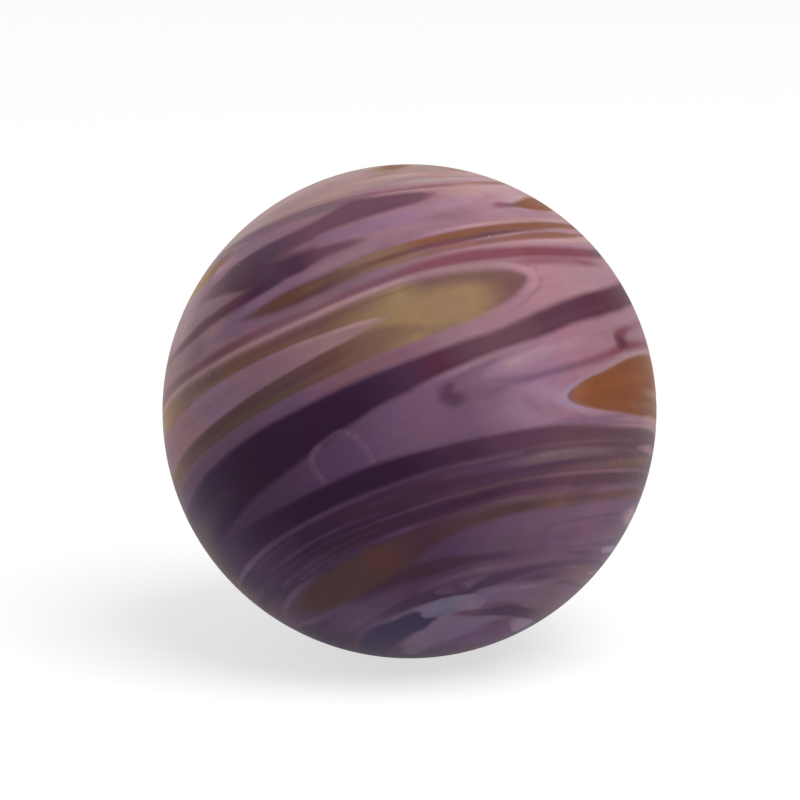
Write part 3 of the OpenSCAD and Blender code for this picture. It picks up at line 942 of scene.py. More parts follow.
lay("dark_band_b",
    [(-64, -35.4, 1.3), (-50, -35.2, 1.5), (-36, -34.4, 1.8), (-20, -34.6, 1.5), (-4, -35.3, 1.5),
     (10, -36.0, 1.4), (22, -36.6, 1.2), (34, -37.6, 1.3), (46, -38.3, 1.2), (60, -38.7, 1.2),
     (76, -38, 1.2)],
    [(-64, "dusk", 0.6), (-48, "dusk", 0.9), (-34, "plum", 0.9), (0, "plum"), (12, "plum"),
     (24, "mulberry"), (34, "dull_mulberry"), (60, "dull_mulberry", 0.9), (76, "dull_mulberry", 0.5)],
    soft=1.7)
lay("hair_left_d", [(-60, -35.2, 0.25), (-44, -34.6, 0.35), (-28, -34.0, 0.3), (-10, -34.8, 0.25)],
    [(-60, "thistle", 0.6), (-36, "dusk", 0.7), (-10, "dusk", 0.3)], soft=0.8)
lay("hair_left_e", [(-52, -36.4, 0.2), (-38, -35.8, 0.3), (-22, -35.6, 0.25)],
    [(-52, "heather", 0.5), (-22, "dusk", 0.5)], soft=0.8)
lay("hair_middle_f", [(-2, -36.4, 0.2), (10, -37.0, 0.3), (24, -37.9, 0.3), (40, -39.2, 0.3)],
    [(-2, "mulberry", 0.5), (20, "dull_plum", 0.7), (40, "dusty_rose", 0.4)], soft=0.8)
lay("left_low_hairline", [(-72, -34.2, 0.4), (-66, -33.9, 0.5), (-60, -33.9, 0.3)],
    [(-72, "heather", 0.5), (-60, "heather", 0.3)])
# painted sheen: a soft taupe veil near the lower left edge of the ball, in place of the haze of grazing
# light
lay("painted_lower_left_sheen", [(-92, -38, 6), (-78, -37, 6.5), (-68, -38.5, 4.5), (-60, -42, 1.5)],
    [(-92, "mauve_taupe", 0.7), (-74, "mauve_taupe", 0.4), (-60, "ash", 0.1)], soft=4)
lay("pale_hairline_c",
    [(-130, -40.4, 0.4), (-84, -40.5, 0.6), (-74, -39.6, 0.7), (-66, -38.8, 0.7), (-58, -38.2, 0.7),
     (-50, -37.8, 0.5), (-40, -37.2, 0.6), (-28, -36.8, 0.6), (-18, -36.8, 0.75), (-10, -37.2, 0.75),
     (-2, -37.6, 0.65), (8, -38.2, 0.7), (18, -38.9, 0.7), (28, -39.7, 0.6), (38, -40.4, 0.6),
     (48, -40.3, 0.7), (58, -40.4, 0.4)],
    [(-130, "heather", 0.3), (-84, "heather", 0.8), (-66, "lilac_grey", 0.9), (-54, "heather"),
     (-43, "dusk"), (-24, "dusk"), (-13, "deep_mauve"), (-3, "mulberry"), (10, "dull_plum", 0.9),
     (22, "ash_mauve", 0.8), (37, "olive", 0.6), (48, "chestnut", 0.6), (58, "chestnut", 0.3)])
count_ribbons()

# %% [markdown]
# ## The brown-amber ribbon
#
# A second amber rod, dulled by plum glass over it, swells to a long lens at
# the left and thins to a khaki thread at the right.

# %% Lay the brown-amber ribbon
start_zone("brown_amber")
lay("brown_amber",
    [(-180, -41.6, 4.2), (-160, -42.4, 3.4), (-140, -42.8, 2.2), (-120, -42.6, 1.6), (-100, -42.5, 1.6),
     (-78, -42.6, 1.6), (-68, -42.4, 2.2), (-60, -42.7, 3.2), (-52, -43, 4.0), (-42, -43, 4.6),
     (-32, -42.9, 5.2), (-24, -42.7, 5.3), (-19, -42.1, 4.6), (-15, -41.8, 3.9), (-11, -41.2, 3.2),
     (-5, -40.8, 2.5), (5, -40.5, 1.8), (15, -40.7, 1.5), (25, -41.3, 1.4), (36, -42.1, 1.4),
     (46, -42.4, 1.3), (58, -42.5, 1.2), (70, -41.9, 1.1), (85, -40.8, 1.1), (110, -40, 0.9),
     (140, -40.4, 1.8), (160, -41, 3.2), (180, -41.6, 4.2)],
    [(-180, "russet"), (-160, "chestnut"), (-135, "umber", 0.9), (-100, "heather", 0.6),
     (-76, "heather", 0.8), (-67, "umber", 0.6), (-57, "umber"), (-30, "umber"), (-24, "chestnut"),
     (-19, "umber"), (-9, "damson"), (6, "umber"), (24, "umber"), (36, "cocoa", 0.95), (46, "umber", 0.8),
     (56, "cocoa"), (80, "garnet", 0.9), (110, "olive", 0.7), (150, "chestnut"), (180, "russet")], soft=2.2)
lay("amber_glow", [(-34, -43.5, 1.0), (-27, -42.5, 1.8), (-21, -41.5, 2.0), (-16, -41.0, 1.2)],
    [(-34, "russet", 0.1), (-27, "russet", 0.15), (-21, "russet", 0.2), (-16, "russet", 0.1)], soft=4)
lay("khaki_lower_edge", [(26, -42.4, 0.3), (34, -42.9, 0.4), (42, -43.2, 0.4), (52, -43.3, 0.3)],
    [(26, "tan", 0.2), (36, "tan", 0.4), (52, "tan", 0.2)], soft=1.2)
lay("pale_under_brown",
    [(-84, -43.8, 0.6), (-76, -44.6, 0.8), (-70, -45.7, 0.8), (-64, -46.8, 0.7), (-58, -47.4, 0.6),
     (-54, -47.4, 0.3)],
    [(-84, "lilac_grey", 0.7), (-70, "lilac_grey"), (-58, "heather", 0.8), (-54, "heather", 0.3)], soft=1.1)
lay("mauve_pocket", [(-9, -44.8, 0.5), (-4, -45, 1.1), (4, -45.2, 1.6), (12, -45.5, 2)],
    [(-9, "deep_mauve", 0.3), (-2, "deep_mauve", 0.5), (12, "deep_mauve", 0)], soft=2.6)
count_ribbons()

# %% [markdown]
# ## The lower mauve
#
# Below the brown rod the mauve comes back, with combed streaks of thistle,
# dusk, rose and bark in it. All of them run nearly level round the globe.

# %% Lay the streaks of the lower mauve
lay("left_pale_streak_a", [(-62, -50.6, 0.7), (-50, -50.9, 0.8), (-40, -51.2, 0.6), (-28, -51.6, 0.5)],
    [(-62, "thistle", 0.5), (-45, "thistle", 0.9), (-28, "thistle", 0.3)], soft=1.8)
lay("left_pale_streak_b", [(-60, -53.6, 0.9), (-48, -53.9, 1.2), (-38, -54.0, 1.2), (-30, -54.4, 0.7)],
    [(-60, "lilac", 0.1), (-44, "thistle", 0.7), (-30, "thistle", 0.3)], soft=2.6)
lay("left_slate_band", [(-100, -48, 1.4), (-80, -48, 1.5), (-66, -48.6, 1.0), (-54, -49, 0.5)],
    [(-100, "dusk", 0.5), (-76, "dusk", 0.7), (-54, "dusk", 0.2)], soft=2.6)
lay("bark_thread",
    [(-46, -48.2, 0.8), (-28, -48.2, 1.6), (-18, -48.2, 2.4), (-9, -49.1, 2.2), (0, -50.2, 1.5),
     (8, -51.4, 1.1), (16, -52.6, 1.0), (26, -53.6, 0.8), (36, -54.4, 0.5)],
    [(-46, "bark", 0.5), (-24, "bark", 0.8), (-10, "bark", 0.95), (2, "bark", 0.8), (14, "dusk", 0.7),
     (26, "heather", 0.7), (36, "heather", 0.2)], soft=2)
lay("pocket_hairline", [(-9.5, -48.1, 0.15), (-8, -48.5, 0.2), (-6, -49.1, 0.15)],
    [(-10, "heather", 0.8), (-5, "heather", 0.6)], soft=0.6)
lay("lower_rose_streak",
    [(22, -50.5, 1.2), (34, -51.6, 1.5), (50, -51.5, 1.3), (66, -51, 1.2), (84, -50.5, 1.2)],
    [(22, "heather", 0.4), (40, "heather", 0.5), (84, "dusty_rose", 0.4)], soft=2.4)
lay("lower_combed_a", [(30, -47.6, 0.25), (46, -47.8, 0.4), (62, -47.4, 0.4), (78, -46.6, 0.4)],
    [(30, "heather", 0.4), (54, "heather", 0.7), (78, "dusk", 0.4)], soft=1.0)
lay("lower_combed_b", [(34, -52.8, 0.3), (50, -53.2, 0.45), (66, -53.2, 0.45), (80, -52.6, 0.4)],
    [(34, "mauve", 0.4), (56, "lilac_grey", 0.7), (80, "lilac", 0.5)], soft=1.0)
lay("lower_combed_c", [(38, -54.9, 0.25), (54, -55.2, 0.35), (70, -54.9, 0.35)],
    [(38, "deep_mauve", 0.4), (70, "heather", 0.6)])
lay("lower_dusk_streak", [(48, -49.0, 0.3), (58, -49.3, 0.5), (72, -49.1, 0.5), (84, -48.6, 0.6)],
    [(48, "heather", 0.2), (62, "heather", 0.7), (84, "heather", 0.6)], soft=1.8)
# painted highlight: a pale glow where the lower right edge of the ball catches the light
lay("painted_lower_right_glow", [(73, -46.9, 0.6), (82, -46.4, 1.9), (95, -46.5, 1.6), (110, -46, 0.8)],
    [(74, "white_lilac", 0.2), (84, "blush", 0.95), (110, "white_lilac", 0.2)], soft=2.6)
count_ribbons()

# %% [markdown]
# ## The bottom
#
# Near the lower pole the ribbons turn tightly. A pale ribbon and a dusky one run
# side by side, with a small ragged island of lilac where they meet.

# %% Lay the bottom
start_zone("bottom")
lay("pale_ribbon_d",
    [(-20, -53.6, 0.5), (-14, -53.8, 0.8), (-6, -53.9, 0.9), (4, -54.5, 0.9), (12, -55.4, 0.9),
     (22, -56.6, 0.9), (34, -57.2, 0.8), (46, -57.4, 0.5)],
    [(-20, "heather", 0.5), (-6, "heather"), (6, "mauve", 0.9), (22, "mauve", 0.9), (46, "mauve", 0.2)],
    soft=1.2)
lay("plum_ribbon_e",
    [(-44, -56.5, 0.8), (-34, -56.2, 1.5), (-24, -56.3, 1.9), (-16, -57.2, 1.8), (-8, -58.9, 1.4),
     (0, -59.9, 1.7), (8, -59.2, 1.9), (18, -59.2, 1.5), (30, -59.3, 1.2), (44, -59.6, 1.0),
     (60, -59.8, 0.8), (76, -59.5, 0.6), (105, -59.2, 1.2), (135, -59.4, 2.0), (160, -59.8, 1.5),
     (178, -60, 0.5)],
    [(-44, "dusk", 0.4), (-32, "dusk", 0.9), (-20, "dusk"), (-8, "dusk"), (5, "dusk", 0.9),
     (16, "deep_mauve"), (34, "deep_mauve", 0.9), (50, "heather", 0.9), (80, "deep_mauve", 0.7),
     (120, "dusk", 0.9), (178, "dusk", 0.8)], soft=1.7)
lay("lilac_island", [(-15.5, -56.1, 0.4), (-12, -56.6, 0.9), (-8, -57.3, 1.4), (-4, -57.8, 1.7)],
    [(-16, "thistle", 0.9), (-11, "thistle", 0.9), (-6, "deep_mauve", 0.9), (-2, "heather", 0.9)],
    soft=0.8, rag=3.0)
lay("island_bright_end", [(-3, -56.4, 0.3), (-1.7, -57.6, 0.35), (-1.9, -59.2, 0.3)],
    [(-4, "mauve", 0.7), (0, "mauve", 0.7)], soft=0.8, rag=0.3)
lay("right_dusk_streak", [(44, -56.4, 0.5), (52, -56.9, 0.9), (60, -57.4, 0.9), (74, -57.8, 0.6)],
    [(44, "heather", 0.5), (54, "heather", 0.9), (74, "heather", 0.3)], soft=1.2)
lay("mauve_band_f",
    [(2, -62.2, 1.2), (14, -62.2, 1.4), (28, -62.4, 1.6), (44, -62.5, 1.6), (62, -62.3, 1.2)],
    [(2, "heather", 0.6), (16, "heather", 0.8), (34, "deep_mauve", 0.9), (48, "heather", 0.8),
     (62, "mauve", 0.2)], soft=2.3)
count_ribbons()

# %% [markdown]
# ## Slate
#
# A pale slate patch lies beside a dark one with a torn edge. Slate is the
# coldest rod of the marble, so it stands out although it is dark.

# %% Lay the slate patches
lay("slate_patch",
    [(-172, -60.5, 0.5), (-150, -61, 2.2), (-110, -62, 3.2), (-80, -62, 3.6), (-64, -61.6, 4.0),
     (-52, -61.6, 4.2), (-42, -62.1, 3.9), (-35, -62.3, 4.0), (-31, -62.5, 3.8), (-28.6, -62.9, 3.0),
     (-27, -63.1, 2.2)],
    [(-172, "dusk", 0.6), (-110, "slate", 0.8), (-76, "slate", 0.9), (-50, "slate"), (-29, "slate")],
    soft=2.1, rag=3.0)
lay("pale_slate_patch",
    [(-26.5, -61.6, 1.8), (-21, -61.8, 3.1), (-15, -62.2, 3.0), (-9, -63.0, 2.9), (-4, -64.2, 2.7),
     (-1.5, -65.2, 2.1)],
    [(-29, "pale_slate"), (-12, "pale_slate"), (-4, "lavender", 0.8), (2, "lilac", 0.8)], soft=1.1, rag=4.5)
lay("pale_slate_fringe", [(-2, -61.6, 0.5), (4, -62.0, 1.4), (12, -62.4, 1.2), (20, -62.8, 0.5)],
    [(-2, "pale_slate", 0.5), (8, "lilac", 0.6), (20, "lilac", 0.2)], soft=1.4, rag=4.5)
lay("slate_patch_smoke", [(-24, -64, 1.2), (-17, -63.4, 1.1), (-10, -64, 0.8)],
    [(-26, "grape", 0.25), (-16, "slate", 0.2), (-8, "pale_slate", 0.1)], soft=2.5)
count_ribbons()

# %% [markdown]
# ## The lower right and the dark curl
#
# The lower right is lilac with many small marks: a squiggle, a painted glint,
# straw and tan threads. A dark curl sweeps round the pole under them.

# %% Lay the lower right and the dark curl
lay("right_lilac_field",
    [(4, -64.4, 2.0), (12, -64.8, 2.8), (24, -66, 3.2), (38, -68, 3.8), (58, -69, 4.5), (84, -69, 5)],
    [(2, "lilac", 0.4), (12, "lilac", 0.6), (26, "lilac", 0.55), (50, "lilac", 0.2), (84, "lilac", 0.4)],
    soft=2.5)
lay("lilac_hairline", [(14, -63.8, 0.2), (22, -64.5, 0.4), (32, -65.2, 0.4), (44, -65.6, 0.3)],
    [(14, "lilac", 0.5), (26, "lavender", 0.8), (44, "lavender", 0.2)], soft=0.8)
lay("small_squiggle", [(54, -61.2, 0.15), (57.5, -61.1, 0.25), (59.5, -61.7, 0.25), (61.5, -62.2, 0.15)],
    [(54, "lavender", 0.7), (61, "lavender", 0.6)], soft=0.5, rag=0.3)
# painted highlight: a white-lilac glint near the lower right edge of the ball
lay("painted_lower_right_glint",
    [(71, -56.0, 0.3), (76, -56.1, 0.8), (81, -55.8, 0.9), (90, -54.8, 0.8), (104, -54, 0.4)],
    [(71, "lavender", 0.6), (79, "white_lilac"), (90, "white_lilac", 0.9), (104, "lavender", 0.2)])
lay("right_bright_line", [(77, -62.9, 0.2), (82, -62.6, 0.4), (92, -61.4, 0.5), (104, -60.5, 0.3)],
    [(77, "lavender", 0.6), (84, "blush", 0.9), (104, "lavender", 0.2)], soft=0.8)
lay("right_tan_band", [(58, -63.6, 0.7), (68, -63.9, 1.2), (80, -64.4, 1.3), (95, -64, 1.2)],
    [(58, "taupe", 0.15), (72, "taupe", 0.5), (95, "taupe", 0.4)], soft=2.3)
lay("lower_right_straw", [(50, -60.9, 0.25), (60, -61.2, 0.4), (72, -61.6, 0.45), (84, -61.4, 0.4)],
    [(50, "taupe", 0.3), (66, "rose_ash", 0.3), (84, "taupe", 0.5)], soft=1.0)
lay("lower_right_dusk", [(40, -64.6, 0.4), (54, -65.6, 0.6), (70, -66.4, 0.6), (88, -66.4, 0.5)],
    [(40, "mauve", 0.5), (60, "heather", 0.7), (88, "heather", 0.5)], soft=1.2)
lay("lilac_crescent_low",
    [(-78, -71, 2.2), (-62, -70.6, 3.2), (-44, -69.6, 3.0), (-30, -70.4, 3.0), (-16, -72.5, 3.0),
     (-2, -73, 2.2), (8, -74, 1.4)],
    [(-78, "white_lilac", 0.7), (-60, "white_lilac", 0.5), (-44, "lilac", 0.75), (-26, "lilac", 0.9),
     (-8, "lilac", 0.8), (8, "lilac", 0.6)], soft=3)
lay("grape_pole", [(-60, -79, 3), (-40, -80, 4.4), (0, -84, 6), (60, -87, 6), (140, -84, 5)],
    [(-180, "grape"), (-60, "grape", 0.8), (60, "grape", 0.9), (180, "grape")], soft=4)
lay("dark_curl",
    [(-20, -65.7, 0.5), (-14, -66.3, 1.0), (-8, -67.8, 1.2), (-2, -69.3, 1.3), (4, -70.3, 1.4),
     (10, -71.1, 1.8), (16, -72.0, 2.1), (22, -72.9, 2.1), (30, -74.8, 1.9), (40, -75.8, 1.8),
     (50, -76.9, 1.6), (62, -77.8, 1.3), (78, -78.4, 1.1), (100, -78.5, 1.0), (140, -76, 0.8)],
    [(-20, "lilac", 0.5), (-13, "heather", 0.9), (-6, "heather", 0.9), (2, "deep_mauve"), (12, "dusk", 0.9),
     (28, "dusk", 0.9), (44, "deep_mauve"), (62, "heather"), (90, "heather"), (140, "heather", 0.4)],
    soft=1.1)
lay("lilac_under_curl",
    [(-2, -71.6, 0.6), (8, -73.9, 0.7), (18, -75.7, 0.9), (28, -77.8, 1.0), (38, -79.6, 1.6),
     (52, -81.2, 2.2), (74, -82.2, 2.6), (104, -82, 2.2)],
    [(-2, "lilac", 0.5), (12, "lilac", 0.5), (22, "grape", 0.5), (30, "lilac"), (44, "white_lilac"),
     (80, "white_lilac"), (104, "lilac", 0.6)], soft=1.2)
count_ribbons()

# %% [markdown]
# ## The far side
#
# The photograph shows one side only. The far side is a guess: the long ribbons
# are carried round by the same twist, and between them lie drops, threads and
# hooks of the same rods, as rich as those in front. Stations beyond 180 are
# counted on eastwards, so 270 is the left edge of the front.

# %% Lay the upper far side
start_zone("upper_far_side")
lay("far_pole_rose", [(0, 84, 3), (90, 82, 4.5), (180, 84, 4), (300, 86, 3)],
    [(0, "old_rose", 0.5), (120, "old_rose", 0.8), (300, "dusty_rose", 0.6)], soft=4)
lay("far_cap_peach", [(196, 66, 1), (230, 65, 2.4), (262, 65.5, 2.6), (296, 68, 1.2)],
    [(196, "blush", 0.3), (230, "blush", 0.8), (296, "blush", 0.3)], soft=2.5)
lay("far_cap_khaki",
    [(92, 65.5, 0.5), (108, 66.5, 1.4), (130, 67.5, 1.9), (152, 69.2, 1.3), (172, 71, 0.5)],
    [(92, "taupe", 0.5), (108, "khaki", 0.8), (130, "turmeric", 0.7), (152, "khaki", 0.8),
     (172, "taupe", 0.5)], soft=1.6)
lay("far_cap_curl",
    [(58, 75.5, 0.4), (90, 74, 1.3), (120, 73.6, 2.2), (150, 74.6, 2.3), (180, 76.8, 1.6),
     (206, 79.5, 0.6)],
    [(58, "taupe_rose", 0.5), (84, "wine", 0.7), (120, "dull_plum"), (160, "mulberry"), (206, "wine", 0.6)],
    soft=1.4)
lay("far_cap_hairline", [(70, 70.5, 0.3), (110, 71, 0.4), (150, 72, 0.45), (190, 74, 0.35), (226, 77, 0.3)],
    [(70, "blush", 0.4), (130, "blush", 0.9), (226, "blush", 0.4)], soft=0.8)
lay("far_cap_plum_drop",
    [(146, 57.5, 0.6), (160, 57.6, 2.0), (178, 57.4, 2.9), (196, 57.6, 2.4), (216, 58.6, 1.4),
     (244, 60.4, 0.4)],
    [(146, "wine", 0.7), (166, "mulberry"), (190, "plum"), (216, "wine", 0.9), (244, "dull_plum", 0.4)],
    soft=1.5)
lay("far_cap_straw", [(104, 60, 0.6), (118, 60, 1.5), (134, 60.2, 1.9), (150, 61.6, 1.2), (164, 63, 0.4)],
    [(104, "straw", 0.4), (122, "straw", 0.8), (140, "mustard", 0.8), (164, "straw", 0.4)], soft=1.6)
count_ribbons()

# %% [markdown]
# ## The far plum drop and the far amber drop
#
# Two large drops fill the upper far side. One is plum with a slit of lilac,
# and one is amber in a pale skin, so that the back has its own bright spot.

# %% Lay the two far drops
lay("far_line_halo",
    [(92, 44.6, 0.4), (124, 47.2, 0.6), (160, 48.4, 0.7), (200, 49.2, 0.6), (250, 50.6, 0.5),
     (300, 51.4, 0.3)],
    [(92, "blush", 0.3), (140, "blush", 0.8), (220, "petal", 0.9), (300, "petal", 0.3)], soft=1.2)
lay("far_plum_body",
    [(112, 41, 0.4), (126, 40.6, 2.0), (142, 40.2, 3.8), (160, 39.8, 4.6), (180, 40.2, 4.0),
     (200, 41.6, 2.6), (222, 43.6, 1.5), (250, 45.8, 0.6)],
    [(112, "wine", 0.6), (128, "mulberry"), (150, "aubergine"), (176, "plum"), (204, "dull_plum"),
     (232, "dull_plum", 0.8), (250, "wine", 0.4)], soft=1.7)
lay("far_plum_slit", [(172, 38.4, 0.2), (184, 39.2, 0.8), (200, 39.8, 1.3), (220, 41, 1.6)],
    [(172, "lilac_grey", 0.8), (192, "orchid", 0.9), (220, "rose", 0.4)], soft=1.1)
lay("far_lilac_lens",
    [(140, 33.6, 0.4), (156, 33.2, 1.6), (178, 33.4, 2.2), (206, 34.6, 1.7), (236, 35.6, 0.8)],
    [(140, "orchid", 0.6), (170, "lavender", 0.9), (210, "orchid", 0.8), (236, "petal", 0.5)], soft=1.6)
lay("far_amber_skin",
    [(132, 28.6, 0.6), (150, 28, 2.0), (170, 27.6, 3.2), (190, 27.8, 3.4), (212, 28.2, 2.4),
     (236, 28.4, 1.0)],
    [(132, "blush", 0.6), (180, "petal", 0.9), (236, "blush", 0.5)], soft=1.3)
lay("far_amber_drop",
    [(142, 27.9, 0.4), (154, 27.4, 1.3), (170, 27.2, 2.3), (188, 27.4, 2.6), (206, 27.8, 1.8),
     (222, 28.2, 0.8), (234, 28.2, 0.3)],
    [(142, "peat"), (154, "russet"), (170, "burnt_amber"), (192, "amber"), (212, "sienna"),
     (234, "tan", 0.7)], soft=1.1)
lay("far_amber_vein", [(164, 26.4, 0.25), (180, 26.6, 0.5), (200, 27.2, 0.4)],
    [(164, "garnet", 0.6), (182, "garnet", 0.9), (200, "garnet", 0.4)], soft=0.8)
lay("far_upper_haze", [(150, 23.6, 0.5), (180, 23, 1.1), (220, 23.4, 1.3), (262, 23.8, 0.8)],
    [(150, "dusty_rose", 0.4), (190, "heather", 0.7), (262, "rose", 0.4)], soft=2)
count_ribbons()

# %% [markdown]
# ## The middle of the far side
#
# The olive lens and the mauve field reach round to here. Between them lie a
# rose lens, thin threads, and a straw lens in a pale skin, which answers the
# amber lens of the front.

# %% Lay the middle of the far side
start_zone("middle_far_side")
lay("far_rose_lens",
    [(92, 14.4, 0.4), (106, 16.8, 0.9), (124, 17.6, 1.1), (146, 16.2, 1.4), (168, 12.8, 1.5),
     (190, 9.4, 0.9), (204, 7.4, 0.3)],
    [(92, "pale_rose", 0.4), (120, "blush", 0.9), (150, "petal", 0.9), (204, "rose", 0.4)], soft=1.3)
lay("far_olive_thread", [(156, 15.4, 0.3), (172, 14, 0.8), (188, 12.6, 1.0), (204, 11.2, 0.5)],
    [(156, "tan", 0.6), (180, "honey", 0.9), (204, "olive", 0.7)], soft=1.1)
lay("far_lens_tip_line",
    [(198, 12.4, 0.3), (206, 13.8, 0.6), (214, 15, 0.6), (226, 16.4, 0.5), (244, 17.2, 0.4)],
    [(198, "pale_rose", 0.6), (210, "shell", 0.9), (244, "blush", 0.3)])
lay("far_lens_rim", [(206, 9.8, 0.4), (214, 5.6, 0.7), (226, 3, 0.8), (244, 1.4, 0.7), (262, 0.4, 0.5)],
    [(206, "umber", 0.7), (230, "peat", 0.8), (262, "umber", 0.4)], soft=1.2)
lay("far_plum_thread",
    [(132, 13.8, 0.2), (146, 11.6, 0.45), (162, 8.2, 0.6), (178, 3.6, 0.6), (194, -1.6, 0.5),
     (210, -6.4, 0.25)],
    [(132, "heather", 0.4), (160, "mauve", 0.7), (186, "orchid", 0.6), (210, "thistle", 0.4)], soft=1.0)
lay("far_wine_thread",
    [(104, -3.6, 0.4), (122, -2.4, 0.9), (142, -3.0, 1.1), (162, -5.6, 1.0), (180, -9, 0.7),
     (196, -12, 0.3)],
    [(104, "raspberry", 0.5), (124, "claret", 0.9), (146, "wine"), (172, "dull_plum", 0.9),
     (196, "heather", 0.5)], soft=1.3)
lay("far_field_light", [(126, -6.4, 0.6), (146, -7.4, 1.4), (166, -10.6, 1.6), (184, -14, 1.0)],
    [(126, "pale_rose", 0.4), (146, "pale_mauve", 0.9), (184, "lavender", 0.4)], soft=2.2)
lay("far_straw_skin",
    [(132, -13.4, 0.6), (144, -13.6, 2.2), (160, -14.6, 3.4), (178, -16.2, 3.8), (196, -17.6, 2.8),
     (212, -18.6, 1.0)],
    [(132, "lavender", 0.7), (170, "blush", 0.8), (212, "lavender", 0.6)], soft=1.5)
lay("far_straw_lens",
    [(136, -13.6, 0.4), (146, -13.8, 1.5), (161, -14.8, 2.6), (178, -16.4, 3.0), (194, -17.6, 2.0),
     (206, -18.4, 0.7)],
    [(136, "hazel"), (147, "tan"), (162, "honey"), (182, "straw", 0.9), (206, "tan")], soft=1.3)
lay("far_straw_vein", [(150, -15.2, 0.2), (166, -16.4, 0.45), (184, -18, 0.35)],
    [(150, "cinnamon", 0.4), (168, "cinnamon", 0.8), (184, "tan", 0.4)])
lay("far_violet_window", [(206, -15.4, 0.8), (222, -16.6, 2.0), (240, -17.4, 2.2), (258, -17.8, 1.2)],
    [(206, "violet", 0.3), (232, "violet", 0.8), (258, "violet", 0.3)], soft=2.4)
lay("far_crescent", [(203, -13.4, 0.4), (200, -15.4, 0.6), (200.6, -17.6, 0.6), (204, -19.4, 0.4)],
    [(198, "orchid", 0.8), (206, "orchid", 0.6)], soft=1.1, rag=0.3)
# painted sheen: a broad soft veil of tan along the left edge of the ball as the camera sees it
lay("painted_left_edge_sheen", [(252, -22, 12), (266, -20, 15), (276, -19, 14), (284, -19, 7)],
    [(252, "tan", 0), (266, "tan", 0.5), (276, "tan", 0.4), (288, "tan", 0.1)], soft=8)
count_ribbons()

# %% [markdown]
# ## The lower far side
#
# Here the glass is combed as thin and as close as in front. Near the pole the
# threads give way to a curl of dusk with a white-lilac streak below it.

# %% Lay the lower far side
start_zone("lower_far_side")
lay("far_taupe_thread",
    [(90, -31.4, 0.6), (108, -30.6, 1.2), (134, -29.8, 1.5), (160, -28.8, 1.2), (186, -28, 0.8),
     (214, -27.4, 0.3)],
    [(90, "ash_mauve", 0.5), (120, "ash_mauve", 0.9), (150, "tan", 0.7), (186, "ash_mauve", 0.9),
     (214, "heather", 0.5)], soft=1.3)
lay("far_upper_hairline",
    [(100, -32.6, 0.3), (130, -31.8, 0.45), (160, -30.8, 0.45), (200, -30.0, 0.45), (240, -29.6, 0.4),
     (284, -29.6, 0.3)],
    [(100, "dusty_rose", 0.5), (140, "rose", 0.8), (210, "lilac_grey", 0.9), (284, "thistle", 0.4)],
    soft=0.8)
lay("far_combed_plum",
    [(88, -34, 0.6), (118, -33.8, 1.2), (150, -33.2, 1.8), (186, -32.8, 2.0), (224, -32.8, 1.6),
     (262, -33.8, 1.4), (298, -35, 1.3)],
    [(88, "dull_mulberry", 0.6), (140, "plum", 0.9), (190, "deep_plum"), (236, "blue_plum", 0.9),
     (298, "dusk", 0.7)], soft=1.2)
lay("far_combed_thread", [(140, -32.6, 0.2), (165, -32.2, 0.35), (200, -32.4, 0.35), (240, -33.6, 0.25)],
    [(140, "dusk", 0.5), (180, "violet", 0.7), (240, "thistle", 0.4)], soft=0.7)
lay("far_lower_hairline",
    [(86, -35.6, 0.4), (118, -36, 0.5), (156, -36.2, 0.55), (196, -36.4, 0.5), (236, -37.6, 0.5),
     (274, -39.6, 0.5)],
    [(86, "dusty_rose", 0.5), (130, "rose", 0.8), (200, "lilac_grey"), (274, "lilac_grey", 0.6)], soft=0.8)
lay("far_brown_glow", [(160, -41, 0.8), (176, -41.4, 1.9), (192, -42, 2.0), (208, -42.6, 0.8)],
    [(160, "rust", 0.2), (180, "amber", 0.7), (208, "rust", 0.2)], soft=3)
lay("far_khaki_hairline",
    [(116, -43.4, 0.3), (150, -45.6, 0.45), (184, -47.2, 0.45), (220, -46.4, 0.4), (250, -45, 0.3)],
    [(116, "tan", 0.4), (160, "honey", 0.7), (220, "tan", 0.6), (250, "heather", 0.4)])
lay("far_bark_thread",
    [(82, -51.8, 0.5), (108, -51, 1.1), (138, -50.8, 1.6), (168, -51.6, 1.5), (198, -52.4, 1.2),
     (228, -52.4, 0.9), (258, -51, 0.4)],
    [(82, "heather", 0.5), (110, "dusk", 0.8), (150, "bark", 0.95), (200, "dusk", 0.9), (258, "dusk", 0.5)],
    soft=1.4)
lay("far_lilac_ribbon",
    [(98, -55.8, 0.5), (126, -55.4, 1.2), (156, -56, 1.6), (188, -57, 1.3), (220, -57, 0.8),
     (252, -56, 0.4)],
    [(98, "orchid", 0.5), (130, "lavender", 0.8), (170, "lilac", 0.9), (220, "heather", 0.8),
     (252, "thistle", 0.5)], soft=1.2)
lay("far_curl",
    [(122, -66.4, 0.5), (142, -65.8, 1.3), (168, -66, 1.9), (194, -67.4, 1.8), (220, -69.6, 1.3),
     (248, -71.6, 0.6)],
    [(122, "heather", 0.6), (150, "dusk"), (190, "dusk"), (220, "deep_mauve", 0.9), (248, "heather", 0.5)],
    soft=1.1)
lay("far_curl_skin", [(130, -68.4, 0.3), (156, -68.6, 0.5), (186, -70, 0.55), (216, -72.4, 0.4)],
    [(130, "lavender", 0.5), (170, "white_lilac", 0.9), (216, "lilac", 0.5)])
lay("far_white_streak",
    [(118, -73.6, 0.6), (144, -73.6, 1.4), (176, -74.6, 1.9), (208, -76.6, 1.2), (232, -78, 0.5)],
    [(118, "lilac", 0.6), (160, "white_lilac", 0.9), (232, "lilac", 0.5)], soft=1.6)
count_ribbons()

# %% [markdown]
# ## The curve of a ribbon
#
# Straight lines between the stations would leave corners. So each stretch is a
# cubic that takes its slope at both ends from the stations beside it, and the
# half width follows the same cubic. The curve is then cut into even steps.

# %% Draw a smooth curve through the stations
DEGREES_A_STEP = 1.0
FEWEST_STEPS = 12


def on_globe(around, above):
    around, above = np.radians(around), np.radians(above)
    east, north = np.cos(above), np.sin(above)
    return np.stack([east * np.cos(around), east * np.sin(around), north], axis=-1)


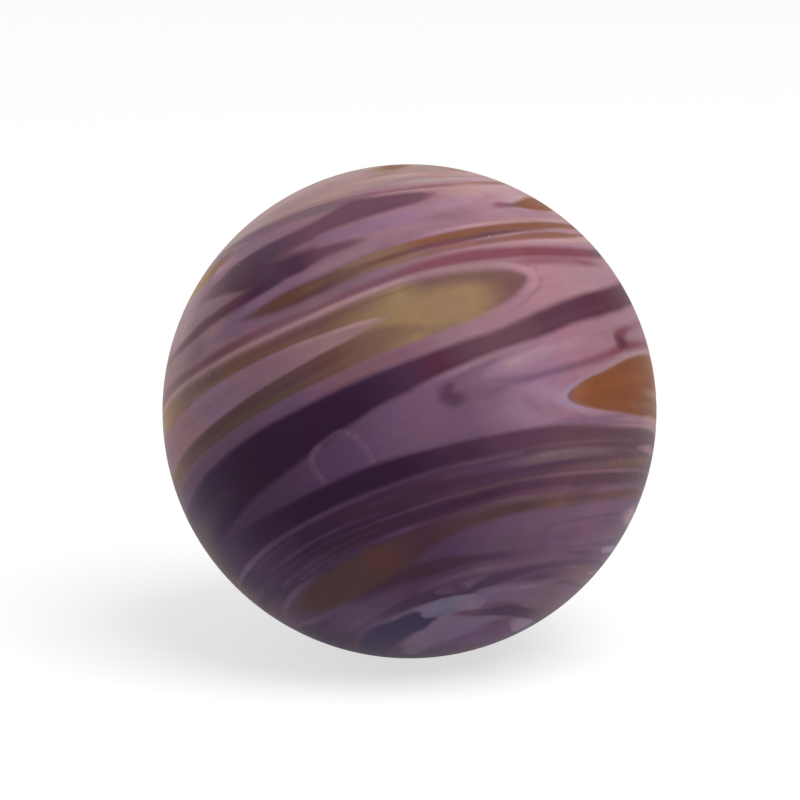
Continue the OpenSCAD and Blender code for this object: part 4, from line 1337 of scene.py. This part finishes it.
def smooth_curve(stations):
    """Even steps along a smooth curve through the stations, half widths included."""
    knots = np.array(stations, dtype=float)
    gaps = np.hypot(*np.diff(knots[:, :2], axis=0).T)
    marks = np.concatenate([[0], np.cumsum(gaps)])
    slopes = np.gradient(knots, marks, axis=0)
    places = np.linspace(0, marks[-1], max(int(marks[-1] / DEGREES_A_STEP) + 1, FEWEST_STEPS))
    stretch = np.clip(np.searchsorted(marks, places, side="right") - 1, 0, len(gaps) - 1)
    t = ((places - marks[stretch]) / gaps[stretch])[:, None]
    leave, arrive = slopes[stretch] * gaps[stretch, None], slopes[stretch + 1] * gaps[stretch, None]
    return ((2 * t ** 3 - 3 * t ** 2 + 1) * knots[stretch] + (t ** 3 - 2 * t ** 2 + t) * leave
            + (3 * t ** 2 - 2 * t ** 3) * knots[stretch + 1] + (t ** 3 - t ** 2) * arrive)


ribbons = [ribbon for zone in zones for ribbon in zone["ribbons"]]
print(f"{ribbons[0]['name']}: {len(smooth_curve(ribbons[0]['stations']))} steps")

# %% [markdown]
# ## Inside or outside a ribbon
#
# Each point of the ball looks for the nearest place on a ribbon's curve, and
# finds how far inside the ribbon's edge it lies, in degrees: above nought inside
# and below nought outside. At the two ends of a ribbon the distance is counted
# round the end, which makes the ends round.

# %% Measure how far inside a ribbon a point lies
BATCHES = 64


def inside_ribbon(points, stations):
    """How many degrees inside the ribbon's edge each point lies."""
    curve = smooth_curve(stations).astype(np.float32)
    middle = on_globe(curve[:, 0], curve[:, 1])
    heading = np.gradient(middle, axis=0)
    step = np.linalg.norm(heading, axis=1, keepdims=True)
    heading /= step
    sideways = np.cross(middle, heading)
    widening = np.gradient(curve[:, 2]) / np.degrees(step[:, 0])
    batches = np.array_split(points, BATCHES)
    nearest = np.concatenate([np.argmax(batch @ middle.T, axis=1) for batch in batches])
    across = np.degrees(np.arcsin(np.clip(np.sum(points * sideways[nearest], axis=1), -1, 1)))
    ahead = np.degrees(np.arcsin(np.clip(np.sum(points * heading[nearest], axis=1), -1, 1)))
    before_start = (nearest == 0) & (ahead < 0)
    past_end = (nearest == len(curve) - 1) & (ahead > 0)
    goes_all_round = stations[-1][0] - stations[0][0] == 360
    overshoot = np.where((before_start | past_end) & (not goes_all_round), ahead, 0)
    reach = curve[nearest, 2] + widening[nearest] * (ahead - overshoot)
    return reach - np.hypot(across, overshoot)


places = np.empty(len(ball_mesh.vertices) * 3, dtype=np.float32)
ball_mesh.vertices.foreach_get("co", places)
points = ((places.reshape(-1, 3) - np.array(BALL_CENTRE)) @ np.array(twist_frame)).astype(np.float32)
points /= np.linalg.norm(points, axis=1, keepdims=True)
around = np.degrees(np.arctan2(points[:, 1], points[:, 0]))
above = np.degrees(np.arcsin(np.clip(points[:, 2], -1, 1)))
print(f"{len(points)} points to measure")

# %% [markdown]
# ## Laying the ribbons on the ball
#
# Each point keeps its number for every ribbon that comes near it. Faces blend
# the number smoothly between their corners, so an edge comes out crisp although
# the mesh is coarser than it is. The numbers of three ribbons share one vector
# attribute, as that renders much faster than an attribute for each.

# %% Lay the ribbons on the ball
MARGIN = 8.0
RIBBONS_A_SHEET = 3

for first in range(0, len(ribbons), RIBBONS_A_SHEET):
    sheet = f"ribbons_{first}"
    inside = np.full((len(points), RIBBONS_A_SHEET), -MARGIN, dtype=np.float32)
    for column, ribbon in enumerate(ribbons[first:first + RIBBONS_A_SHEET]):
        heights, half_widths = np.array(ribbon["stations"])[:, 1:].T
        lowest = (heights - half_widths).min() - MARGIN
        highest = (heights + half_widths).max() + MARGIN
        near = (above > lowest) & (above < highest)
        inside[near, column] = inside_ribbon(points[near], ribbon["stations"])
        ribbon.update(sheet=sheet, column=column)
    ball_mesh.attributes.new(sheet, "FLOAT_VECTOR", "POINT").data.foreach_set("vector", inside.ravel())
print(f"{len(ribbons)} ribbons laid")

# %% [markdown]
# ## The flow of the glass
#
# Inside each ribbon run much finer streaks, drawn out by the same twist. They
# need to know which way the glass flowed, so the longest ribbons serve as flow
# lines. Each point takes the height that it would have if those ribbons ran
# level, and a noise that is squeezed in that height gives streaks along them.

# %% Measure the flow
POLE = 90.0
THINNEST_LAYER = 0.5
FLOW_LINES = [
    "dark_curl", "pale_ribbon_d", "pale_hairline_c", "second_plum", "main_plum", "raspberry_stripe",
    "upper_amber_thread", "thin_dark_line",
]

by_name = {ribbon["name"]: ribbon["stations"] for ribbon in ribbons}
levels = [np.full(len(points), -POLE)]
heights = [np.full(len(points), -POLE)]
for name in FLOW_LINES:
    line = np.array(by_name[name])
    heights.append(np.interp(around, line[:, 0], line[:, 1], period=360))
    levels.append(np.full(len(points), np.mean(line[:, 1])))
heights.append(np.full(len(points), POLE))
levels.append(np.full(len(points), POLE))

flow = np.zeros(len(points))
for k in range(len(heights) - 1):
    share = (above - heights[k]) / np.maximum(heights[k + 1] - heights[k], THINNEST_LAYER)
    between = (share >= 0) & (share <= 1)
    flow[between] = (levels[k] + share * (levels[k + 1] - levels[k]))[between]
ball_mesh.attributes.new("flow", "FLOAT", "POINT").data.foreach_set("value", flow.astype(np.float32))
print(f"flow runs from {flow.min():.0f} to {flow.max():.0f} degrees")

# %% [markdown]
# ## Frosted opal glass: the coordinates
#
# The real material is soda-lime glass made opaque, tumbled in fine grit until
# its skin is frosted: satin, with no sharp reflection. The material works in
# the ball's own globe, so each point is measured along two axes of its equator,
# one toward the camera and one east of it. The angle round the ball finds a
# ribbon's colour. Ribbons that cross the back take the same angle counted from
# 0 to 360, so that it has no jump there.

# %% Start the glass and find the angle round the ball
frosted_glass = bpy.data.materials.new("frosted_opal_glass")
frosted_glass.use_nodes = True
tree = frosted_glass.node_tree
tree.nodes.clear()
on_object = add_node(tree, "TexCoord").outputs["Object"]


def share_of_a_turn(east, toward_lens):
    angle = add_node(tree, "Math", {0: east, 1: toward_lens}, operation="ARCTAN2").outputs[0]
    return add_node(tree, "Math", {0: angle, 1: 1 / (2 * pi), 2: 0.5}, operation="MULTIPLY_ADD").outputs[0]


globe_x, globe_y = (
    add_node(tree, "VectorMath", {0: on_object, 1: axis}, operation="DOT_PRODUCT").outputs["Value"]
    for axis in (twist_front, twist_side)
)
minus_x, minus_y = (
    add_node(tree, "Math", {0: value, 1: -1}, operation="MULTIPLY").outputs[0]
    for value in (globe_x, globe_y)
)
round_front = share_of_a_turn(globe_y, globe_x)
round_back = share_of_a_turn(minus_y, minus_x)
print(f"{len(tree.nodes)} nodes find a point's place round the ball")

# %% [markdown]
# ## Ragged edges
#
# Melted glass never leaves a ruled line. A noise three times as long round the
# ball as across it moves the ribbons' edges by a few hundredths of a millimetre.

# %% Make the rag of the edges
RAG_MM = 0.9
RAG_STRETCH = 3

stretched = add_node(tree, "Mapping", {
    "Vector": on_object, "Rotation": twist_frame.to_euler(), "Scale": (RAG_STRETCH, RAG_STRETCH, 1),
}, vector_type="TEXTURE").outputs[0]
rag_noise = add_node(tree, "TexNoise", {
    "Vector": stretched, "Scale": 1 / (RAG_MM * MM), "Detail": 4.0, "Roughness": 0.62,
}).outputs[0]
rag_degrees = add_node(tree, "Math", {0: rag_noise, 1: -0.5}, operation="ADD").outputs[0]
print(f"the rag is {RAG_MM} mm across and {RAG_MM * RAG_STRETCH:.1f} mm along")

# %% [markdown]
# ## Painting the ribbons in
#
# The ribbons are mixed in one after another, from the bottom up, as glass lies
# over glass. A ribbon's mask rises from none to full across its soft edge, and
# a colour ramp round the ball gives its rods, with their strength as alpha.
# Each zone is a node group, because Blender rechecks a whole tree at each new
# link, and one tree of a thousand nodes would take minutes to make. A Mix node
# has sockets for numbers and vectors too, so its colours are found by place.

# %% Mix the ribbons zone by zone
FACTOR, UNDER, OVER, MIXED = 0, 6, 7, 2


def set_rods(elements, rods, west_end):
    """Put a ribbon's rods on its ramp, which runs once round the ball from its west end."""
    for index, (place, rod, *strength) in enumerate(rods):
        element = elements[index] if index < 2 else elements.new(1.0)
        element.position = (place - west_end) / 360
        element.color = (*glass_colour(RODS[rod])[:3], strength[0] if strength else 1.0)


def zone_group(zone):
    group = bpy.data.node_groups.new(zone["name"], "ShaderNodeTree")
    group.interface.new_socket("Glass", in_out="INPUT", socket_type="NodeSocketColor")
    for name in ("Round Front", "Round Back", "Rag"):
        group.interface.new_socket(name, in_out="INPUT", socket_type="NodeSocketFloat")
    group.interface.new_socket("Glass", in_out="OUTPUT", socket_type="NodeSocketColor")
    glass, round_front, round_back, rag = group.nodes.new("NodeGroupInput").outputs[:4]
    sheets = {}
    for ribbon in zone["ribbons"]:
        sheet, edge = ribbon["sheet"], ribbon["soft"] / 2
        if sheet not in sheets:
            measured = add_node(group, "Attribute", attribute_name=sheet, attribute_type="GEOMETRY")
            sheets[sheet] = add_node(group, "SeparateColor", {0: measured.outputs["Color"]}).outputs
        inside = sheets[sheet][ribbon["column"]]
        ragged = add_node(group, "Math", {0: rag, 1: ribbon["rag"], 2: inside}, operation="MULTIPLY_ADD")
        mask = add_node(group, "MapRange", {
            "Value": ragged.outputs[0], "From Min": -edge, "From Max": edge,
        }, interpolation_type="SMOOTHSTEP").outputs[0]
        crosses_back = max(place for place, *_ in ribbon["rods"]) > 180
        ramp = add_node(group, "ValToRGB", {0: round_back if crosses_back else round_front})
        set_rods(ramp.color_ramp.elements, ribbon["rods"], 0 if crosses_back else -180)
        cover = add_node(group, "Math", {
            0: mask, 1: ramp.outputs["Alpha"],
        }, operation="MULTIPLY").outputs[0]
        glass = add_node(group, "Mix", {
            FACTOR: cover, UNDER: glass, OVER: ramp.outputs["Color"],
        }, data_type="RGBA").outputs[MIXED]
    group.links.new(glass, group.nodes.new("NodeGroupOutput").inputs[0])
    return group


glass = glass_colour(RODS["mauve"])
for zone in zones:
    glass = add_node(tree, "Group", node_tree=zone_group(zone), sockets={
        "Glass": glass, "Round Front": round_front, "Round Back": round_back, "Rag": rag_degrees,
    }).outputs["Glass"]
print(f"{len(zones)} zones painted in")

# %% [markdown]
# ## Streaks and mottle in the glass
#
# Within a ribbon the glass is never one flat colour. Streaks 0.35 mm across the
# flow and 6 mm along it are the size of the fine threads on the real ball, and
# hair streaks a third as wide lie among them. A mottle of 0.8 mm lies over both,
# where the opal in the glass is thicker or thinner. Each makes the glass a few
# percent lighter or darker, so the three are added up to one brightness.

# %% Make the streaks and the mottle
STREAK_MM = (6.0, 0.35)
HAIR_STREAK_MM = (3.5, 0.12)
MOTTLE_MM = 0.8
STREAK_DEPTH = 0.26
HAIR_STREAK_DEPTH = 0.10
MOTTLE_DEPTH = 0.30
MM_A_DEGREE = BALL_RADIUS / MM * pi / 180

flow_height = add_node(tree, "Attribute", attribute_name="flow", attribute_type="GEOMETRY").outputs["Fac"]


def streaks_in_the_flow(long_mm, wide_mm):
    along = 1 / (long_mm * MM)
    across = MM_A_DEGREE / wide_mm
    with_the_flow = add_node(tree, "CombineXYZ", dict(enumerate(
        add_node(tree, "Math", {0: place, 1: scale}, operation="MULTIPLY").outputs[0]
        for place, scale in ((globe_x, along), (globe_y, along), (flow_height, across))
    )))
    return add_node(tree, "TexNoise", {
        "Vector": with_the_flow.outputs[0], "Scale": 1.0, "Detail": 3.0, "Roughness": 0.6,
    }).outputs[0]


mottle = add_node(tree, "TexNoise", {
    "Vector": on_object, "Scale": 1 / (MOTTLE_MM * MM), "Detail": 4.0, "Roughness": 0.7,
}).outputs[0]
brightness = 1 - (STREAK_DEPTH + HAIR_STREAK_DEPTH + MOTTLE_DEPTH) / 2
for noise, depth in (
    (streaks_in_the_flow(*STREAK_MM), STREAK_DEPTH),
    (streaks_in_the_flow(*HAIR_STREAK_MM), HAIR_STREAK_DEPTH),
    (mottle, MOTTLE_DEPTH),
):
    brightness = add_node(tree, "Math", {
        0: noise, 1: depth, 2: brightness,
    }, operation="MULTIPLY_ADD").outputs[0]
streaked_glass = add_node(tree, "VectorMath", {0: glass, "Scale": brightness}, operation="SCALE").outputs[0]
print(f"streaks {STREAK_MM[1]} and {HAIR_STREAK_MM[1]} mm wide, mottle {MOTTLE_MM} mm")

# %% [markdown]
# ## Clouds in the glass
#
# No two rods melt into each other evenly. Clouds of 2.5 mm push the glass a
# little warmer or cooler: the noise has a value of its own for red, green and
# blue, and each scales its own channel. Blue varies most.

# %% Make the clouds
CLOUD_MM = 2.5
CLOUD_DEPTH = Vector((0.22, 0.22, 0.28))

clouds = add_node(tree, "TexNoise", {
    "Vector": on_object, "Scale": 1 / (CLOUD_MM * MM), "Detail": 3.0, "Roughness": 0.6,
})
warmer_or_cooler = add_node(tree, "VectorMath", {
    0: clouds.outputs["Color"], 1: CLOUD_DEPTH, 2: Vector((1, 1, 1)) - CLOUD_DEPTH / 2,
}, operation="MULTIPLY_ADD").outputs[0]
clouded_glass = add_node(tree, "VectorMath", {
    0: streaked_glass, 1: warmer_or_cooler,
}, operation="MULTIPLY").outputs[0]
print(f"clouds {CLOUD_MM} mm across")

# %% [markdown]
# ## Bubbles and frosting
#
# A few tiny bubbles were cut open by the tumbling and show as pale specks less
# than a tenth of a millimetre across. Only one cell in three of a scattered
# pattern carries one. The grit itself leaves a grain of fine dimples, far too
# small to change the outline, so a bump is enough.

# %% Make the specks and the frosted grain
SPECK_APART_MM = 1.1
SPECK_MM = 0.05
SPECK_CORE = 0.4
SPECK_SHARE = 0.33
SPECK_COVER = 0.35
GRAIN_MM = 0.14
GRAIN_DEPTH_MM = 0.003

speck_edge = SPECK_MM / SPECK_APART_MM
cells = add_node(tree, "TexVoronoi", {"Vector": on_object, "Scale": 1 / (SPECK_APART_MM * MM)})
in_speck = add_node(tree, "MapRange", {
    "Value": cells.outputs["Distance"], "From Min": speck_edge, "From Max": SPECK_CORE * speck_edge,
    "To Max": SPECK_COVER,
}).outputs[0]
cell_number = add_node(tree, "SeparateColor", {0: cells.outputs["Color"]}).outputs[0]
chosen = add_node(tree, "Math", {0: cell_number, 1: SPECK_SHARE}, operation="LESS_THAN").outputs[0]
speck_cover = add_node(tree, "Math", {0: in_speck, 1: chosen}, operation="MULTIPLY").outputs[0]
specked_glass = add_node(tree, "Mix", {
    FACTOR: speck_cover, UNDER: clouded_glass, OVER: glass_colour("#d8c6c6"),
}, data_type="RGBA").outputs[MIXED]
grain = add_node(tree, "TexNoise", {
    "Vector": on_object, "Scale": 1 / (GRAIN_MM * MM), "Detail": 3.0,
}).outputs[0]
dimples = add_node(tree, "Bump", {"Height": grain, "Distance": GRAIN_DEPTH_MM * MM}).outputs[0]
print(f"specks {2 * SPECK_MM:.2f} mm across at most, grain {GRAIN_MM} mm")

# %% [markdown]
# ## The skin
#
# Fine grit leaves the skin rough, so its gloss is broad and weak, and a little
# uneven. The glass has the usual IOR of 1.5, but its gloss is turned well down,
# as most of what polished glass would reflect is scattered here. Light that
# grazes a frosted skin scatters back whitish, and sheen gives that.

# %% Finish the glass
SMOOTHEST = 0.45
ROUGHER_BY = 0.2

uneven = add_node(tree, "Math", {
    0: grain, 1: ROUGHER_BY, 2: SMOOTHEST,
}, operation="MULTIPLY_ADD").outputs[0]
skin = add_node(tree, "BsdfPrincipled", {
    "Base Color": specked_glass, "Roughness": uneven, "IOR": 1.5, "Specular IOR Level": 0.1,
    "Sheen Weight": 0.16, "Sheen Roughness": 0.3, "Normal": dimples,
})
add_node(tree, "OutputMaterial", {"Surface": skin.outputs[0]})
ball_mesh.materials.append(frosted_glass)
print(f"{frosted_glass.name}: {len(tree.nodes)} nodes, the zones' own apart")

# %% [markdown]
# ## Sizes
#
# Looks must not change a model's size.

# %% Finish
print("scene built")
